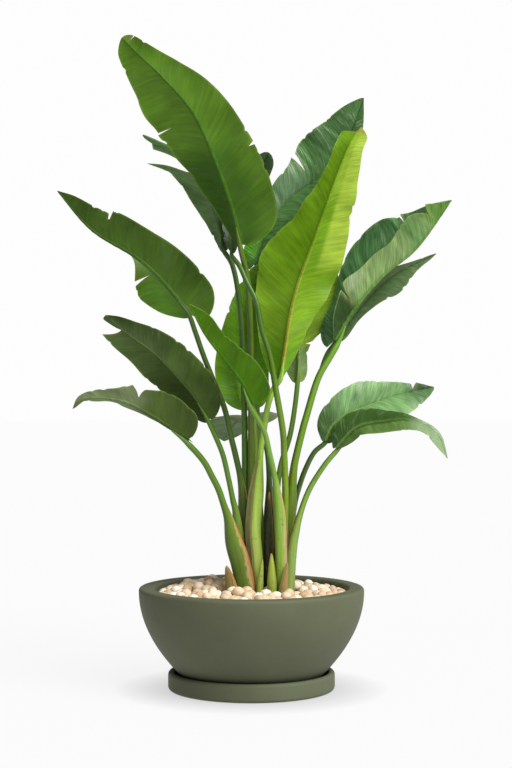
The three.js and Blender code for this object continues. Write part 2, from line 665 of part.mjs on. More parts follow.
/** A closed body swept along a curve: radii(u, z) gives its half width (along X) and half depth. */
function sweep(curve, stations, radii) {
  const positions = [];
  const index = [];
  const ring = (i, k) => i * STALK_SIDES + (k % STALK_SIDES);
  for (let i = 0; i <= stations; i += 1) {
    const u = i / stations;
    const centre = curve.getPointAt(u);
    const forward = curve.getTangentAt(u);
    const across = new THREE.Vector3(1, 0, 0).addScaledVector(forward, -forward.x).normalize();
    const back = new THREE.Vector3().crossVectors(forward, across);
    const [halfWidth, halfDepth] = radii(u, centre.z);
    for (let k = 0; k < STALK_SIDES; k += 1) {
      const angle = ((k + 0.5) / STALK_SIDES) * 2 * Math.PI;
      const point = centre.clone()
        .addScaledVector(across, halfWidth * Math.cos(angle))
        .addScaledVector(back, halfDepth * Math.sin(angle));
      positions.push(...point.toArray());
    }
  }
  for (let i = 0; i < stations; i += 1) {
    for (let k = 0; k < STALK_SIDES; k += 1) {
      index.push(ring(i, k), ring(i, k + 1), ring(i + 1, k + 1));
      index.push(ring(i, k), ring(i + 1, k + 1), ring(i + 1, k));
    }
  }
  for (let k = 1; k < STALK_SIDES - 1; k += 1) {
    index.push(ring(0, 0), ring(0, k + 1), ring(0, k));
    index.push(ring(stations, 0), ring(stations, k), ring(stations, k + 1));
  }
  return toSolid(meshGeometry(positions, index));
}

function makeStalk(leaf, grow = 0) {
  const [x, y] = leaf.root;
  const [footRadius, topRadius] = leaf.petiole;
  const [sheathWidth, sheathDepth, sheathTop] = leaf.sheath;
  const base = ribFrame(leaf, 0);
  const under = ribFrame(leaf, STALK_REACH);
  const atBlade = base.place.addScaledVector(base.normal, -topRadius - 1);
  const end = under.place.addScaledVector(under.normal, -topRadius * STALK_END - BLADE_THICKNESS);
  const root = [[x, y, ROOT_DEPTH - grow], [x, y, SOIL_TOP]];
  const curve = smoothCurve([...root, ...leaf.stem, atBlade.toArray(), end.toArray()]);
  const stations = Math.round(curve.getLength() / STATION_SPACING);
  const fade = 1 - STALK_THINNING / curve.getLength();
  return sweep(curve, stations, (u, z) => {
    const sheath = 1 - THREE.MathUtils.smoothstep(z, sheathTop - SHEATH_TAPER, sheathTop);
    const thin = u > fade ? mix(1, STALK_END, (u - fade) / (1 - fade)) : 1;
    const stem = mix(footRadius, topRadius, u) * thin;
    return [mix(stem, sheathWidth, sheath) + grow, mix(stem, sheathDepth, sheath) + grow];
  });
}

function makeShoot(shoot, grow = 0) {
  const [x, y] = shoot.foot;
  const [tipX, tipY, tipZ] = shoot.tip;
  const curve = smoothCurve([
    [x, y, ROOT_DEPTH - grow],
    [x, y, SOIL_TOP],
    [mix(x, tipX, 0.4), mix(y, tipY, 0.4), mix(SOIL_TOP, tipZ, 0.5)],
    [tipX, tipY, tipZ + grow],
  ]);
  return sweep(curve, SHOOT_STATIONS, (u) => {
    const pointed = mix(SHOOT_END, 1, Math.min(1, SHOOT_TAPER * (1 - u)) ** SHOOT_FULLNESS);
    return shoot.size.map((half) => half * pointed + grow);
  });
}

// ---- assembly ------------------------------------------------------------------------------------

const object = new THREE.Group();

function addPart(name, solid, color, roughness) {
  const { vertProperties, triVerts } = solid.getMesh();
  const geometry = meshGeometry(vertProperties, Array.from(triVerts));
  geometry.computeVertexNormals();
  const material = new THREE.MeshStandardMaterial({ color, roughness, metalness: 0 });
  const mesh = new THREE.Mesh(geometry, material);
  mesh.name = name;
  object.add(mesh);
}

const grownStalks = [];
const holes = [];
leaves.forEach((leaf) => {
  ribFrame(leaf, 0);
  addPart(`${leaf.name}_blade`, makeBlade(leaf), leaf.color, 0.4);
  const stalk = cutBy(makeStalk(leaf), [makeBlade(leaf, BLADE_GAP), ...grownStalks]);
  addPart(`${leaf.name}_stalk`, stalk, STALK_COLOR, 0.45);
  grownStalks.push(makeStalk(leaf, GROWTH_GAP));
  holes.push(makeStalk(leaf, HOLE_GAP));
});
shoots.forEach((shoot) => {
  addPart(shoot.name, cutBy(makeShoot(shoot), grownStalks), shoot.color, 0.5);
  grownStalks.push(makeShoot(shoot, GROWTH_GAP));
  holes.push(makeShoot(shoot, HOLE_GAP));
});

addPart("saucer", makeSaucer(), POT_COLOR, 0.8);
addPart("pot", makePot(), POT_COLOR, 0.8);
addPart("soil", makeSoil(holes), SOIL_COLOR, 0.95);
addPart("pebbles", makePebbles(holes), PEBBLE_COLOR, 0.6);

export default object;
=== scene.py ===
import math
from functools import partial

import bpy
import numpy as np
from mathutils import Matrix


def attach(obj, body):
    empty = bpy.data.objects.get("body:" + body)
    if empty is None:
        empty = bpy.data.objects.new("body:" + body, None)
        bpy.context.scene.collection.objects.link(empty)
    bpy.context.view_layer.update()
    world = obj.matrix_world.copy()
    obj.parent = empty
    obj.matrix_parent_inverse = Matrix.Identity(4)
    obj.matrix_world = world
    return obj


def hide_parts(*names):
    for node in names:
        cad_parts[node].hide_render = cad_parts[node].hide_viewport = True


# A potted bird of paradise: sixteen large leaves on long stalks, in a bowl planter on a saucer. Shapes
# are worked out in millimetres, +Z up, front towards -Y, and become metres when a mesh is made.

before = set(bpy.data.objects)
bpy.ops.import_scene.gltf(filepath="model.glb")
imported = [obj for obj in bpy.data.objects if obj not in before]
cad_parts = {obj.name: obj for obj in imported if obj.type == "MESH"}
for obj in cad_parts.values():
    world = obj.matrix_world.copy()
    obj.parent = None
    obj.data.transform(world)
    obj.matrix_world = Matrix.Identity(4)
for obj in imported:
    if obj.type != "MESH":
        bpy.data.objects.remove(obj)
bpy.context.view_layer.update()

# ---- saucer --------------------------------------------------------------------------------------
# A low round dish that catches the drain water. It is fibre clay: cement with stone powder and glass
# fibre, cast in a mould, sanded and sprayed in a matt olive. It lies loose on the floor.

MM = 0.001

SAUCER_RADIUS = 203.5
SAUCER_HEIGHT = 44
SAUCER_INNER_RADIUS = 187
SAUCER_FLOOR = 12
SAUCER_EDGE = 8  # radius of its rounded lower edge
SAUCER_CORNER = 3  # radius of the corner inside, between its wall and floor
ROUND_SIDES = 160  # facets round the saucer and the pot
CREASE = math.radians(40)  # edges sharper than this stay sharp


def linear(colour):
    """An sRGB colour such as "6f7359" as the linear colour that a shader takes."""
    parts = [int(colour[i:i + 2], 16) / 255 for i in (0, 2, 4)]
    return [c / 12.92 if c <= 0.04045 else ((c + 0.055) / 1.055) ** 2.4 for c in parts] + [1.0]


def add_node(owner, kind, settings=None, links=None):
    """One node of a material or world, with settings (properties, or fixed values of sockets) and links.

    A socket is given by its name or number. A link comes from a socket, or from the first one of a node
    that is in use.
    """
    node = owner.node_tree.nodes.new("ShaderNode" + kind)

    def socket(name):
        if isinstance(name, int):
            return node.inputs[name]
        return next((s for s in node.inputs if s.name == name and s.enabled), None)

    for name, value in (settings or {}).items():
        if socket(name):
            socket(name).default_value = value
        else:
            setattr(node, name, value)
    for name, source in (links or {}).items():
        if isinstance(source, bpy.types.Node):
            source = next(s for s in source.outputs if s.enabled)
        owner.node_tree.links.new(source, socket(name))
    return node


def new_material(name):
    """A material without nodes yet."""
    material = bpy.data.materials.new(name)
    material.use_nodes = True
    material.node_tree.nodes.clear()
    return material


def new_piece(name, points, faces, materials, stands_for, face_material=None, painted=None):
    """A mesh from points in millimetres, in the place of CAD nodes, with colours or grain at its points."""
    mesh = bpy.data.meshes.new(name)
    mesh.from_pydata((np.asarray(points) * MM).tolist(), [], faces)
    for material in materials:
        mesh.materials.append(material)
    mesh.polygons.foreach_set("use_smooth", [True] * len(faces))
    if face_material is not None:
        mesh.polygons.foreach_set("material_index", face_material)
    for attribute, values in (painted or {}).items():
        kind, field = ("FLOAT_COLOR", "color") if values.shape[1] == 4 else ("FLOAT_VECTOR", "vector")
        mesh.attributes.new(attribute, kind, "POINT").data.foreach_set(field, values.ravel())
    mesh.set_sharp_from_angle(angle=CREASE)
    piece = bpy.data.objects.new(name, mesh)
    bpy.context.collection.objects.link(piece)
    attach(piece, "root")
    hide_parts(*stands_for)
    return piece


def rounded_edge(radius, height, size, start, end, steps=8):
    """Points of an arc in the (radius, height) plane, from one angle in degrees to another."""
    angles = np.radians(np.linspace(start, end, steps + 1))
    return [(radius + size * math.cos(a), height + size * math.sin(a)) for a in angles]


def turned(profile, closed):
    """A profile of (radius, height) turned round the Z axis: closed, or with its ends on the axis."""
    angles = np.linspace(0, 2 * math.pi, ROUND_SIDES, endpoint=False)
    points, rings, faces = [], [], []
    for radius, height in profile:
        if radius == 0:
            rings.append([len(points)] * ROUND_SIDES)
            points.append((0, 0, height))
        else:
            rings.append(list(range(len(points), len(points) + ROUND_SIDES)))
            points += [(radius * math.cos(a), radius * math.sin(a), height) for a in angles]
    for lower, upper in list(zip(rings, rings[1:])) + ([(rings[-1], rings[0])] if closed else []):
        for k in range(ROUND_SIDES):
            after = (k + 1) % ROUND_SIDES
            faces.append(tuple(dict.fromkeys([lower[k], lower[after], upper[after], upper[k]])))
    return points, faces


# Sprayed fibre clay is dead matt and slightly cloudy, with a fine sanded tooth and a few shallow pits
# where air bubbles burst in the mould.
olive_clay = new_material("olive_fibre_clay_sprayed_matt")
clay_place = add_node(olive_clay, "TexCoord").outputs["Object"]
clay_clouds = add_node(olive_clay, "TexNoise", {"Scale": 14.0, "Detail": 5.0, "Roughness": 0.6},
                       {"Vector": clay_place})  # clouds of about 70 mm
clay_tooth = add_node(olive_clay, "TexNoise", {"Scale": 420.0, "Detail": 3.0},
                      {"Vector": clay_place})  # tooth of about 2 mm, coarser than real so that it shows
clay_bubbles = add_node(olive_clay, "TexVoronoi", {"Scale": 55.0}, {"Vector": clay_place})
clay_pits = add_node(olive_clay, "MapRange",
                     {"interpolation_type": "SMOOTHSTEP", "From Min": 0.02, "From Max": 0.1},
                     {"Value": clay_bubbles})  # pits of 2 to 3 mm, some 18 mm apart
clay_colour = add_node(olive_clay, "Mix",
                       {"data_type": "RGBA", "A": linear("50543d"), "B": linear("5b6048")},
                       {"Factor": clay_clouds})
clay_relief = add_node(olive_clay, "Math", {"operation": "MULTIPLY_ADD", 1: 0.3},
                       {0: clay_tooth, 2: clay_pits})
clay_bump = add_node(olive_clay, "Bump", {"Strength": 0.5, "Distance": 0.0004}, {"Height": clay_relief})
clay_roughness = add_node(olive_clay, "MapRange", {"To Min": 0.62, "To Max": 0.8}, {"Value": clay_tooth})
clay_shader = add_node(olive_clay, "BsdfPrincipled", {"IOR": 1.5, "Specular IOR Level": 0.35},
                       {"Base Color": clay_colour, "Roughness": clay_roughness, "Normal": clay_bump})
add_node(olive_clay, "OutputMaterial", links={"Surface": clay_shader})

lip = (SAUCER_RADIUS - SAUCER_INNER_RADIUS) / 2
inside = SAUCER_CORNER
saucer_profile = [(0, 0), (SAUCER_RADIUS - 2 * SAUCER_EDGE, 0)]
saucer_profile += rounded_edge(SAUCER_RADIUS - SAUCER_EDGE, SAUCER_EDGE, SAUCER_EDGE, -90, 0)
saucer_profile += rounded_edge(SAUCER_RADIUS - lip, SAUCER_HEIGHT - lip, lip, 0, 180, steps=14)
saucer_profile += rounded_edge(SAUCER_INNER_RADIUS - inside, SAUCER_FLOOR + inside, inside, 0, -90, steps=4)
saucer_profile += [(0, SAUCER_FLOOR)]
saucer_points, saucer_faces = turned(saucer_profile, closed=False)
new_piece("olive_saucer", saucer_points, saucer_faces, [olive_clay], ["saucer"])

# ---- pot -----------------------------------------------------------------------------------------
# A wide shallow bowl planter of the same fibre clay, with a flat rim and rounded edges. It is cast in
# one piece, with a drain hole in its foot, and stands in the saucer under its own weight.

POT_FOOT = 12.3
POT_BASE_RADIUS = 150
POT_RIM_RADIUS = 275
POT_TOP = 248
POT_WALL = 28
POT_FLOOR = 38
POT_MOUTH_RADIUS = 236
POT_MOUTH_BOTTOM = 226  # down to this height the mouth is upright
RIM_EDGE = 8  # radius of the rim's rounded edges
FOOT_EDGE = 4  # size of the foot's softened edge
FOOT_EDGE_MIDDLE = 1.2  # how far in and up its middle lies
DRAIN_RADIUS = 12
OUTER_STEPS = 44  # in the height of its outside
INNER_STEPS = 30


def bowl_radius(height):
    """The bowl's outer radius at a height: it opens from its foot and stands upright at its rim."""
    rise = min(max((height - POT_FOOT) / (POT_TOP - RIM_EDGE - POT_FOOT), 0), 1)
    return POT_BASE_RADIUS + (POT_RIM_RADIUS - POT_BASE_RADIUS) * (1 - (1 - rise) ** 2)


pot_profile = [(DRAIN_RADIUS, POT_FOOT), (POT_BASE_RADIUS - FOOT_EDGE, POT_FOOT),
               (POT_BASE_RADIUS - FOOT_EDGE_MIDDLE, POT_FOOT + FOOT_EDGE_MIDDLE)]
pot_profile += [(bowl_radius(z), z)
                for z in np.linspace(POT_FOOT + FOOT_EDGE, POT_TOP - RIM_EDGE, OUTER_STEPS)[:-1]]
pot_profile += rounded_edge(POT_RIM_RADIUS - RIM_EDGE, POT_TOP - RIM_EDGE, RIM_EDGE, 0, 90)
pot_profile += rounded_edge(POT_MOUTH_RADIUS + RIM_EDGE, POT_TOP - RIM_EDGE, RIM_EDGE, 90, 180)
pot_profile += [(min(bowl_radius(z) - POT_WALL, POT_MOUTH_RADIUS), z)
                for z in np.linspace(POT_MOUTH_BOTTOM, POT_FLOOR, INNER_STEPS)]
pot_profile += [(DRAIN_RADIUS, POT_FLOOR)]
pot_points, pot_faces = turned(pot_profile, closed=True)
new_piece("olive_bowl_planter", pot_points, pot_faces, [olive_clay], ["pot"])

# ---- soil ----------------------------------------------------------------------------------------
# Potting mix that fills the bowl below the pebbles: peat with bark crumbs, pressed down by hand round
# the stalks. The CAD solid has its shape already.

# Moist potting mix is nearly black, rough all over, with lighter bark crumbs of a few millimetres.
potting_mix = new_material("potting_mix_moist_peat_and_bark")
mix_place = add_node(potting_mix, "TexCoord").outputs["Object"]
mix_crumbs = add_node(potting_mix, "TexVoronoi", {"Scale": 180.0},
                      {"Vector": mix_place})  # crumbs of 5 to 6 mm
mix_dust = add_node(potting_mix, "TexNoise", {"Scale": 600.0, "Detail": 4.0},
                    {"Vector": mix_place})  # dust of 1 to 2 mm
mix_tone = add_node(potting_mix, "SeparateColor", links={"Color": mix_crumbs.outputs["Color"]})
mix_bark = add_node(potting_mix, "Mix", {"data_type": "RGBA", "A": linear("1f1610"), "B": linear("54402c")},
                    {"Factor": mix_tone})
mix_height = add_node(potting_mix, "Math", {"operation": "SUBTRACT"}, {0: mix_dust, 1: mix_crumbs})
mix_bump = add_node(potting_mix, "Bump", {"Distance": 0.003}, {"Height": mix_height})
mix_shader = add_node(potting_mix, "BsdfPrincipled", {"Roughness": 0.95, "Specular IOR Level": 0.2},
                      {"Base Color": mix_bark, "Normal": mix_bump})
add_node(potting_mix, "OutputMaterial", links={"Surface": mix_shader})

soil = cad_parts["soil"]
soil.data.materials.clear()
soil.data.materials.append(potting_mix)

# ---- leaf stalks ---------------------------------------------------------------------------------
# Each leaf stands on its own stalk, fleshy and waxy. At its foot the stalk is a sheath whose two edges
# lap over each other and dry to a reddish-brown skin; higher up it is a round leaf stem with a groove.

# One entry for each leaf, in millimetres from the middle of the pot at the floor.
# root: where the stalk stands in the soil. sheath: its half width and half depth at the foot, and the
# height at which it ends. petiole: the leaf stem's radius at its foot and at the blade. stem: places that
# the stalk passes. rib: places along the blade's midrib, under which the stalk ends. upper: the way in
# which the blade's upper face looks, at its base and at its tip.
# seam: where the sheath's edge lies, in degrees (0 is +X, -90 the front), at equal steps up to SEAM_TOP.
# turn: -1 where it laps the other way round. colours: at foot, middle and top. dry: how much of its edge
# has withered. dry_colour: that of the withered edge. What isn't told is as usual, as below the table.
leaves = {
    "middle_back": {
        "root": [70, -5], "sheath": [12, 11, 420], "petiole": [10, 6],
        "stem": [[78, -8, 330], [83, -12, 460], [80, -20, 570], [76, -38, 632], [60, -56, 725],
                 [45, -60, 810], [25, -60, 875], [12, -55, 940], [-9, -46, 985], [-28, -30, 1028]],
        "rib": [[-46, 0, 1062], [-50, 45, 1098], [-44, 75, 1150], [-22, 90, 1220], [14, 92, 1270],
                [43, 90, 1321]],
        "upper": [[0.2, -0.9, 0.4], [0.3, -0.95, 0.1]],
        "seam": [-20, -10], "turn": -1,
        "colours": ["78941c", "708c14", "385f16"], "dry": 0.3,
    },
    "top_left": {
        "root": [4, 38], "sheath": [14, 12, 400], "petiole": [9, 7],
        "stem": [[-2, 38, 330], [-3, 36, 455], [-1, 30, 630], [-1, 6, 800], [-4, -12, 915],
                 [-10, -14, 1000]],
        "rib": [[-25, -12, 1082], [-52, -22, 1185], [-90, -30, 1290], [-142, -38, 1400], [-215, -38, 1485],
                [-280, -28, 1548], [-316, -12, 1587]],
        "upper": [[0.4, 0.9, 0.18], [0.12, 0.98, 0.12]],
        "colours": ["667f28", "506612", "4a600c"],
    },
    "behind_top_left": {
        "root": [-12, 42], "sheath": [12, 11, 400], "petiole": [9, 6],
        "stem": [[-14, 42, 330], [-16, 40, 455], [-17, 40, 605], [-22, 36, 840], [-32, 32, 960],
                 [-47, 34, 1035]],
        "rib": [[-66, 44, 1072], [-84, 105, 1150], [-118, 150, 1250], [-185, 160, 1330], [-275, 135, 1372]],
        "upper": [[0.3, 0.9, 0.25], [0.2, 0.95, 0.2]],
        "colours": ["5a7820", "486a1c", "3a5818"],
    },
    "top_right": {
        "root": [30, 60], "sheath": [12, 10, 400], "petiole": [9, 6],
        "stem": [[26, 68, 330], [20, 80, 455], [14, 102, 655], [8, 114, 850], [6, 106, 975]],
        "rib": [[10, 92, 1045], [38, 108, 1130], [95, 124, 1210], [170, 132, 1265], [235, 132, 1348],
                [282, 118, 1462]],
        "upper": [[-0.33, -0.87, 0.37], [-0.33, -0.87, 0.37]],
        "colours": ["547018", "48620f", "445a12"],
    },
    "broad_back": {
        "root": [12, 14], "sheath": [12, 10, 400],
        "stem": [[12, 20, 330], [10, 30, 455], [9, 46, 580], [7, 58, 650]],
        "rib": [[5, 66, 690], [-15, 78, 780], [-13, 84, 865], [4, 86, 955], [40, 80, 1045]],
        "upper": [[-0.1, -0.95, 0.2], [-0.1, -0.95, 0.2]],
        "colours": ["667f28", "5c7c1c", "4c6c10"],
    },
    "behind_centre": {
        "root": [52, 22], "sheath": [11, 10, 400],
        "stem": [[56, 26, 330], [62, 32, 460], [72, 40, 540], [95, 52, 615], [108, 60, 690]],
        "rib": [[116, 68, 760], [120, 84, 850], [132, 96, 950], [148, 104, 1065], [162, 104, 1140]],
        "upper": [[0.1, 0.95, 0.1], [0.1, 0.95, 0.1]],
        "colours": ["5a7c20", "5a7e28", "567628"],
    },
    "back": {
        "root": [44, 66], "sheath": [16, 11, 520],
        "stem": [[45, 76, 330], [45, 90, 455], [41, 110, 555], [31, 124, 605]],
        "rib": [[18, 138, 640], [-4, 205, 658], [-38, 280, 645], [-74, 350, 592]],
        "upper": [[-0.1, -0.3, 0.95], [-0.1, 0.1, 0.95]],
        "seam": [-60, -60],
        "colours": ["4c6a30", "3c5c24", "385428"],
    },
    "upper_right": {
        "root": [88, 14], "sheath": [14, 12, 560], "petiole": [10, 8],
        "stem": [[92, 12, 330], [97, 8, 459], [103, 8, 532], [110, 10, 569], [125, 15, 630], [135, 20, 665],
                 [163, 32, 755], [195, 42, 812]],
        "rib": [[207, 48, 850], [258, 58, 935], [328, 62, 1015], [408, 50, 1080], [493, 30, 1195]],
        "upper": [[-0.69, -0.24, 0.68], [-0.69, -0.24, 0.68]],
        "seam": [-120, -150], "turn": -1,
        "colours": ["7f9234", "5a760c", "5e8c28"], "dry": 0.6, "dry_colour": "b4803a",
    },
    "narrow_right": {
        "root": [92, 34], "sheath": [9, 9, 480], "petiole": [7, 6],
        "stem": [[94, 34, 330], [98, 33, 459], [104, 33, 532], [111, 35, 569], [126, 40, 630],
                 [137, 45, 665], [166, 58, 755], [187, 66, 815]],
        "rib": [[212, 74, 850], [276, 88, 940], [350, 98, 1010], [463, 110, 1070]],
        "upper": [[-0.05, -0.98, 0.1], [-0.05, -0.98, 0.1]],
        "colours": ["5a7c20", "4c7820", "4a7022"],
    },
    "middle_right_back": {
        "root": [84, 52], "sheath": [11, 10, 400],
        "stem": [[92, 54, 330], [106, 50, 440], [118, 45, 490], [134, 38, 535], [155, 32, 575]],
        "rib": [[183, 25, 604], [205, 28, 647], [248, 36, 676], [315, 50, 701], [374, 65, 718],
                [455, 90, 735]],
        "upper": [[-0.3, -0.91, 0.2], [-0.17, -0.91, 0.38]],
        "colours": ["4c642c", "425c20", "4a6830"],
    },
    "upper_left": {
        "root": [-16, 14], "sheath": [14, 12, 540], "petiole": [9, 6],
        "stem": [[-18, 12, 330], [-20, 8, 447], [-26, 5, 508], [-39, 2, 569], [-54, -2, 630],
                 [-68, -8, 690], [-112, -20, 800], [-136, -24, 868]],
        "rib": [[-150, -25, 912], [-215, -35, 992], [-280, -45, 1050], [-385, -50, 1115],
                [-470, -40, 1210]],
        "upper": [[0.25, 0.93, 0.25], [0.58, 0.53, 0.62]],
        "seam": [-10, -25], "turn": -1,
        "colours": ["486418", "3e5c14", "345010"], "dry": 0.5,
    },
    "middle_left": {
        "root": [-24, -14], "sheath": [13, 10, 480],
        "stem": [[-28, -17, 330], [-37, -20, 425], [-45, -23, 461], [-55, -26, 510], [-69, -30, 570],
                 [-88, -38, 618]],
        "rib": [[-107, -45, 660], [-147, -60, 722], [-225, -70, 808], [-300, -70, 865], [-352, -60, 908]],
        "upper": [[0.06, 0.99, 0.06], [0.06, 0.99, 0.06]],
        "seam": [-10, -25], "turn": -1,
        "colours": ["567c28", "507820", "3f6418"],
    },
    "centre": {
        "root": [10, -22], "sheath": [19, 14, 590], "petiole": [8, 7],
        "stem": [[9, -25, 315], [4, -26, 388], [11, -25, 473], [21, -25, 570], [30, -22, 631],
                 [40, -20, 690], [56, -17, 735]],
        "rib": [[71, -15, 757], [104, -8, 950], [156, 2, 1100], [205, 10, 1240], [238, 22, 1325],
                [262, 44, 1368]],
        "upper": [[0, 0.98, 0.05], [0, 0.98, 0.05]],
        "seam": [-108, -110, -112, -116, -120], "turn": -1,
        "colours": ["949e4e", "8aaa40", "84ac3c"], "dry": 1.5, "dry_colour": "7c7448",
    },
    "front": {
        "root": [70, -42], "sheath": [14, 12, 540],
        "stem": [[71, -44, 330], [68, -45, 410], [64, -46, 463], [58, -48, 511], [45, -60, 572],
                 [30, -72, 632]],
        "rib": [[2, -90, 695], [-25, -104, 750], [-72, -124, 812], [-112, -144, 866], [-145, -165, 930]],
        "upper": [[0.68, 0.57, 0.45], [0.68, 0.57, 0.45]],
        "seam": [-8, -10], "turn": -1,
        "colours": ["86a23c", "6c9430", "567e1e"], "dry": 1.2, "dry_colour": "b08c62",
    },
    "middle_right_front": {
        "root": [92, -24], "sheath": [12, 10, 450], "petiole": [9, 6],
        "stem": [[98, -25, 330], [108, -26, 388], [121, -27, 437], [138, -28, 482], [158, -32, 518],
                 [184, -37, 556]],
        "rib": [[208, -42, 590], [255, -60, 640], [320, -80, 655], [380, -100, 658], [438, -115, 628],
                [465, -120, 567]],
        "upper": [[-0.05, -0.75, 0.65], [0.4, -0.6, 0.7]],
        "seam": [-150, -160],
        "colours": ["7f964c", "6c9234", "4c7420"], "dry": 0.5,
    },
    "lower_left": {
        "root": [-10, -50], "sheath": [23, 14, 460], "petiole": [10, 7],
        "stem": [[-26, -55, 306], [-43, -58, 364], [-54, -60, 415], [-66, -62, 451], [-78, -64, 487],
                 [-94, -70, 520], [-116, -79, 560]],
        "rib": [[-152, -90, 610], [-245, -110, 672], [-310, -130, 703], [-390, -150, 710],
                [-420, -155, 685]],
        "upper": [[0.46, 0.53, 0.71], [0.06, 0.77, 0.64]],
        "seam": [-12, -8], "turn": -1,
        "colours": ["40560e", "4c7010", "466a10"], "dry": 1,
    },
}

USUAL_PETIOLE = [8, 6]
USUAL_SEAM = [60, 40]  # behind on the right
USUAL_TURN = 1
USUAL_DRYNESS = 0.1
USUAL_DRY_COLOUR = "a4622f"

ROOT_HEIGHT = 160  # height at which the stalks begin, in the soil
SOIL_TOP = 222
SHEATH_TAPER = 130  # length over which a sheath narrows to the leaf stem
STALK_REACH = 45  # how far the stalk runs on under the blade
STALK_THINNING = 58  # length over which it thins out there
STALK_END = 0.3  # what is left of its radius there
BLADE_GAP = 1  # between its skin and the middle of the blade's base
BLADE_HALF_THICKNESS = 0.8
STALK_SIDES = 36
STALK_STEP = 4  # between its cross sections
CURVE_STEPS = 60  # between two places of a smooth curve

SHEATH_LAP = 1.8  # thickness of the edge that lies on top
LAP_SPREAD = 1.7  # angle over which that edge levels out
LAP_LEAST = 0.04  # what is left of it round the rest of the sheath
GROOVE_DEPTH = 1.2
GROOVE_SPREAD = 0.45  # angle over which the groove levels out, to each side
GROOVE_LIMIT = 0.25  # it is never deeper than this part of the stalk's half depth
GRAIN_RADIUS = 12  # radius for which the streaks' width is worked out
SEAM_TOP = 560  # height up to which the sheaths' edges are told

COLOUR_HEIGHTS = [SOIL_TOP, 480, 900]  # of a stalk's three colours
PAINTED_SHADE_TONE = 0.76  # painted shade on a stalk's flanks, painted light on its front
PAINTED_LIGHT_TONE = 1.26
EDGE_SHOWS = 4  # how far up the colour of the sheath's edge can be told, against its thickness
EDGE_YELLOW = "a4a43c"
YELLOW_PART = 0.6
YELLOW_SPREAD = 0.7  # angle over which the yellow fades, away from the edge
DRY_STRIP = [0.25, 0.55]  # angle that a fresh edge's dry strip takes up, and what withering adds
STRIP_HEIGHTS = [SOIL_TOP, 500]
STRIP_NARROWING = [1.25, 0.6]  # of the strip between those heights
STRIP_WAVES = [(0.1, 14.3), (0.08, 6.1), (0.07, 3.7), (0.05, 2.3)]  # how ragged: part of its width, length
STRIP_CREAM = "b8a87c"  # the strip is bleached where it borders on the green
CREAM_PART = 0.55
CREAM_BORDER = [-0.15, 0.05]  # angles before and past the strip's border over which that fades
BROWN_BORDER = [0.35, 0.85]  # parts of the strip's width between which the brown fades
BROWN_PART = [0.6, 0.3]  # how brown a fresh edge is, and what withering adds
LOWER_EDGE_BROWN = "6c4a2a"  # of the sheath's other edge, which lies under the lap
LOWER_EDGE_PART = 0.6
LOWER_EDGE_WIDTH = 0.2  # as an angle


def spline(a, b, c, d, t):
    """The smooth curve from b to c at parts t of the way, with a and d the places before and after."""
    return b + t / 2 * (c - a + t * (2 * a - 5 * b + 4 * c - d + t * (3 * (b - c) + d - a)))


def smooth_curve(points):
    """A smooth curve through points, as the distance run and the place at many steps."""
    points = np.array(points, float)
    points = np.vstack([2 * points[0] - points[1], points, 2 * points[-1] - points[-2]])
    t = np.linspace(0, 1, CURVE_STEPS, endpoint=False)[:, None]
    pieces = [spline(a, b, c, d, t) for a, b, c, d in zip(points, points[1:], points[2:], points[3:])]
    places = np.vstack([*pieces, points[-2]])
    run = np.concatenate([[0], np.cumsum(np.linalg.norm(np.diff(places, axis=0), axis=1))])
    return run, places


def unit(vectors):
    return vectors / np.linalg.norm(vectors, axis=-1, keepdims=True)


def follow(curve, distance):
    """Places and directions at distances along a curve."""
    run, places = curve

    def at(d):
        return np.stack([np.interp(d, run, places[:, axis]) for axis in range(3)], axis=-1)

    inside = np.clip(distance, 0, run[-1])
    return at(inside), unit(at(np.minimum(inside + 1, run[-1])) - at(np.maximum(inside - 1, 0)))


def rib_frame(leaf, distance):
    """Place, direction, upper normal and right-hand side of a midrib at distances along it."""
    curve = smooth_curve(leaf["rib"])
    distance = np.asarray(distance, float)
    place, forward = follow(curve, distance)
    past_ends = np.minimum(distance, 0) + np.maximum(distance - curve[0][-1], 0)
    place = place + forward * past_ends[..., None]
    part = np.clip(distance / curve[0][-1], 0, 1)[..., None]
    normal = np.array(leaf["upper"][0]) * (1 - part) + np.array(leaf["upper"][1]) * part
    normal = unit(normal - forward * np.sum(normal * forward, axis=-1, keepdims=True))
    return place, forward, normal, np.cross(forward, normal)


def smoothstep(x, low, high):
    """0 up to low, 1 from high on, and a soft step between."""
    t = np.clip((x - low) / (high - low), 0, 1)
    return t * t * (3 - 2 * t)


def blend_colours(colours, part):
    """Linear colours at equal steps, read at parts from 0 to 1."""
    steps = np.linspace(0, 1, len(colours))
    table = np.array([linear(colour) for colour in colours])
    return np.stack([np.interp(part, steps, table[:, channel]) for channel in range(4)], axis=-1)


def tinted(colours, tint, strength):
    """Linear colours drawn towards an sRGB tint, by strengths from 0 to 1."""
    return colours + (np.array(linear(tint)) - colours) * np.clip(strength, 0, 1)[..., None]


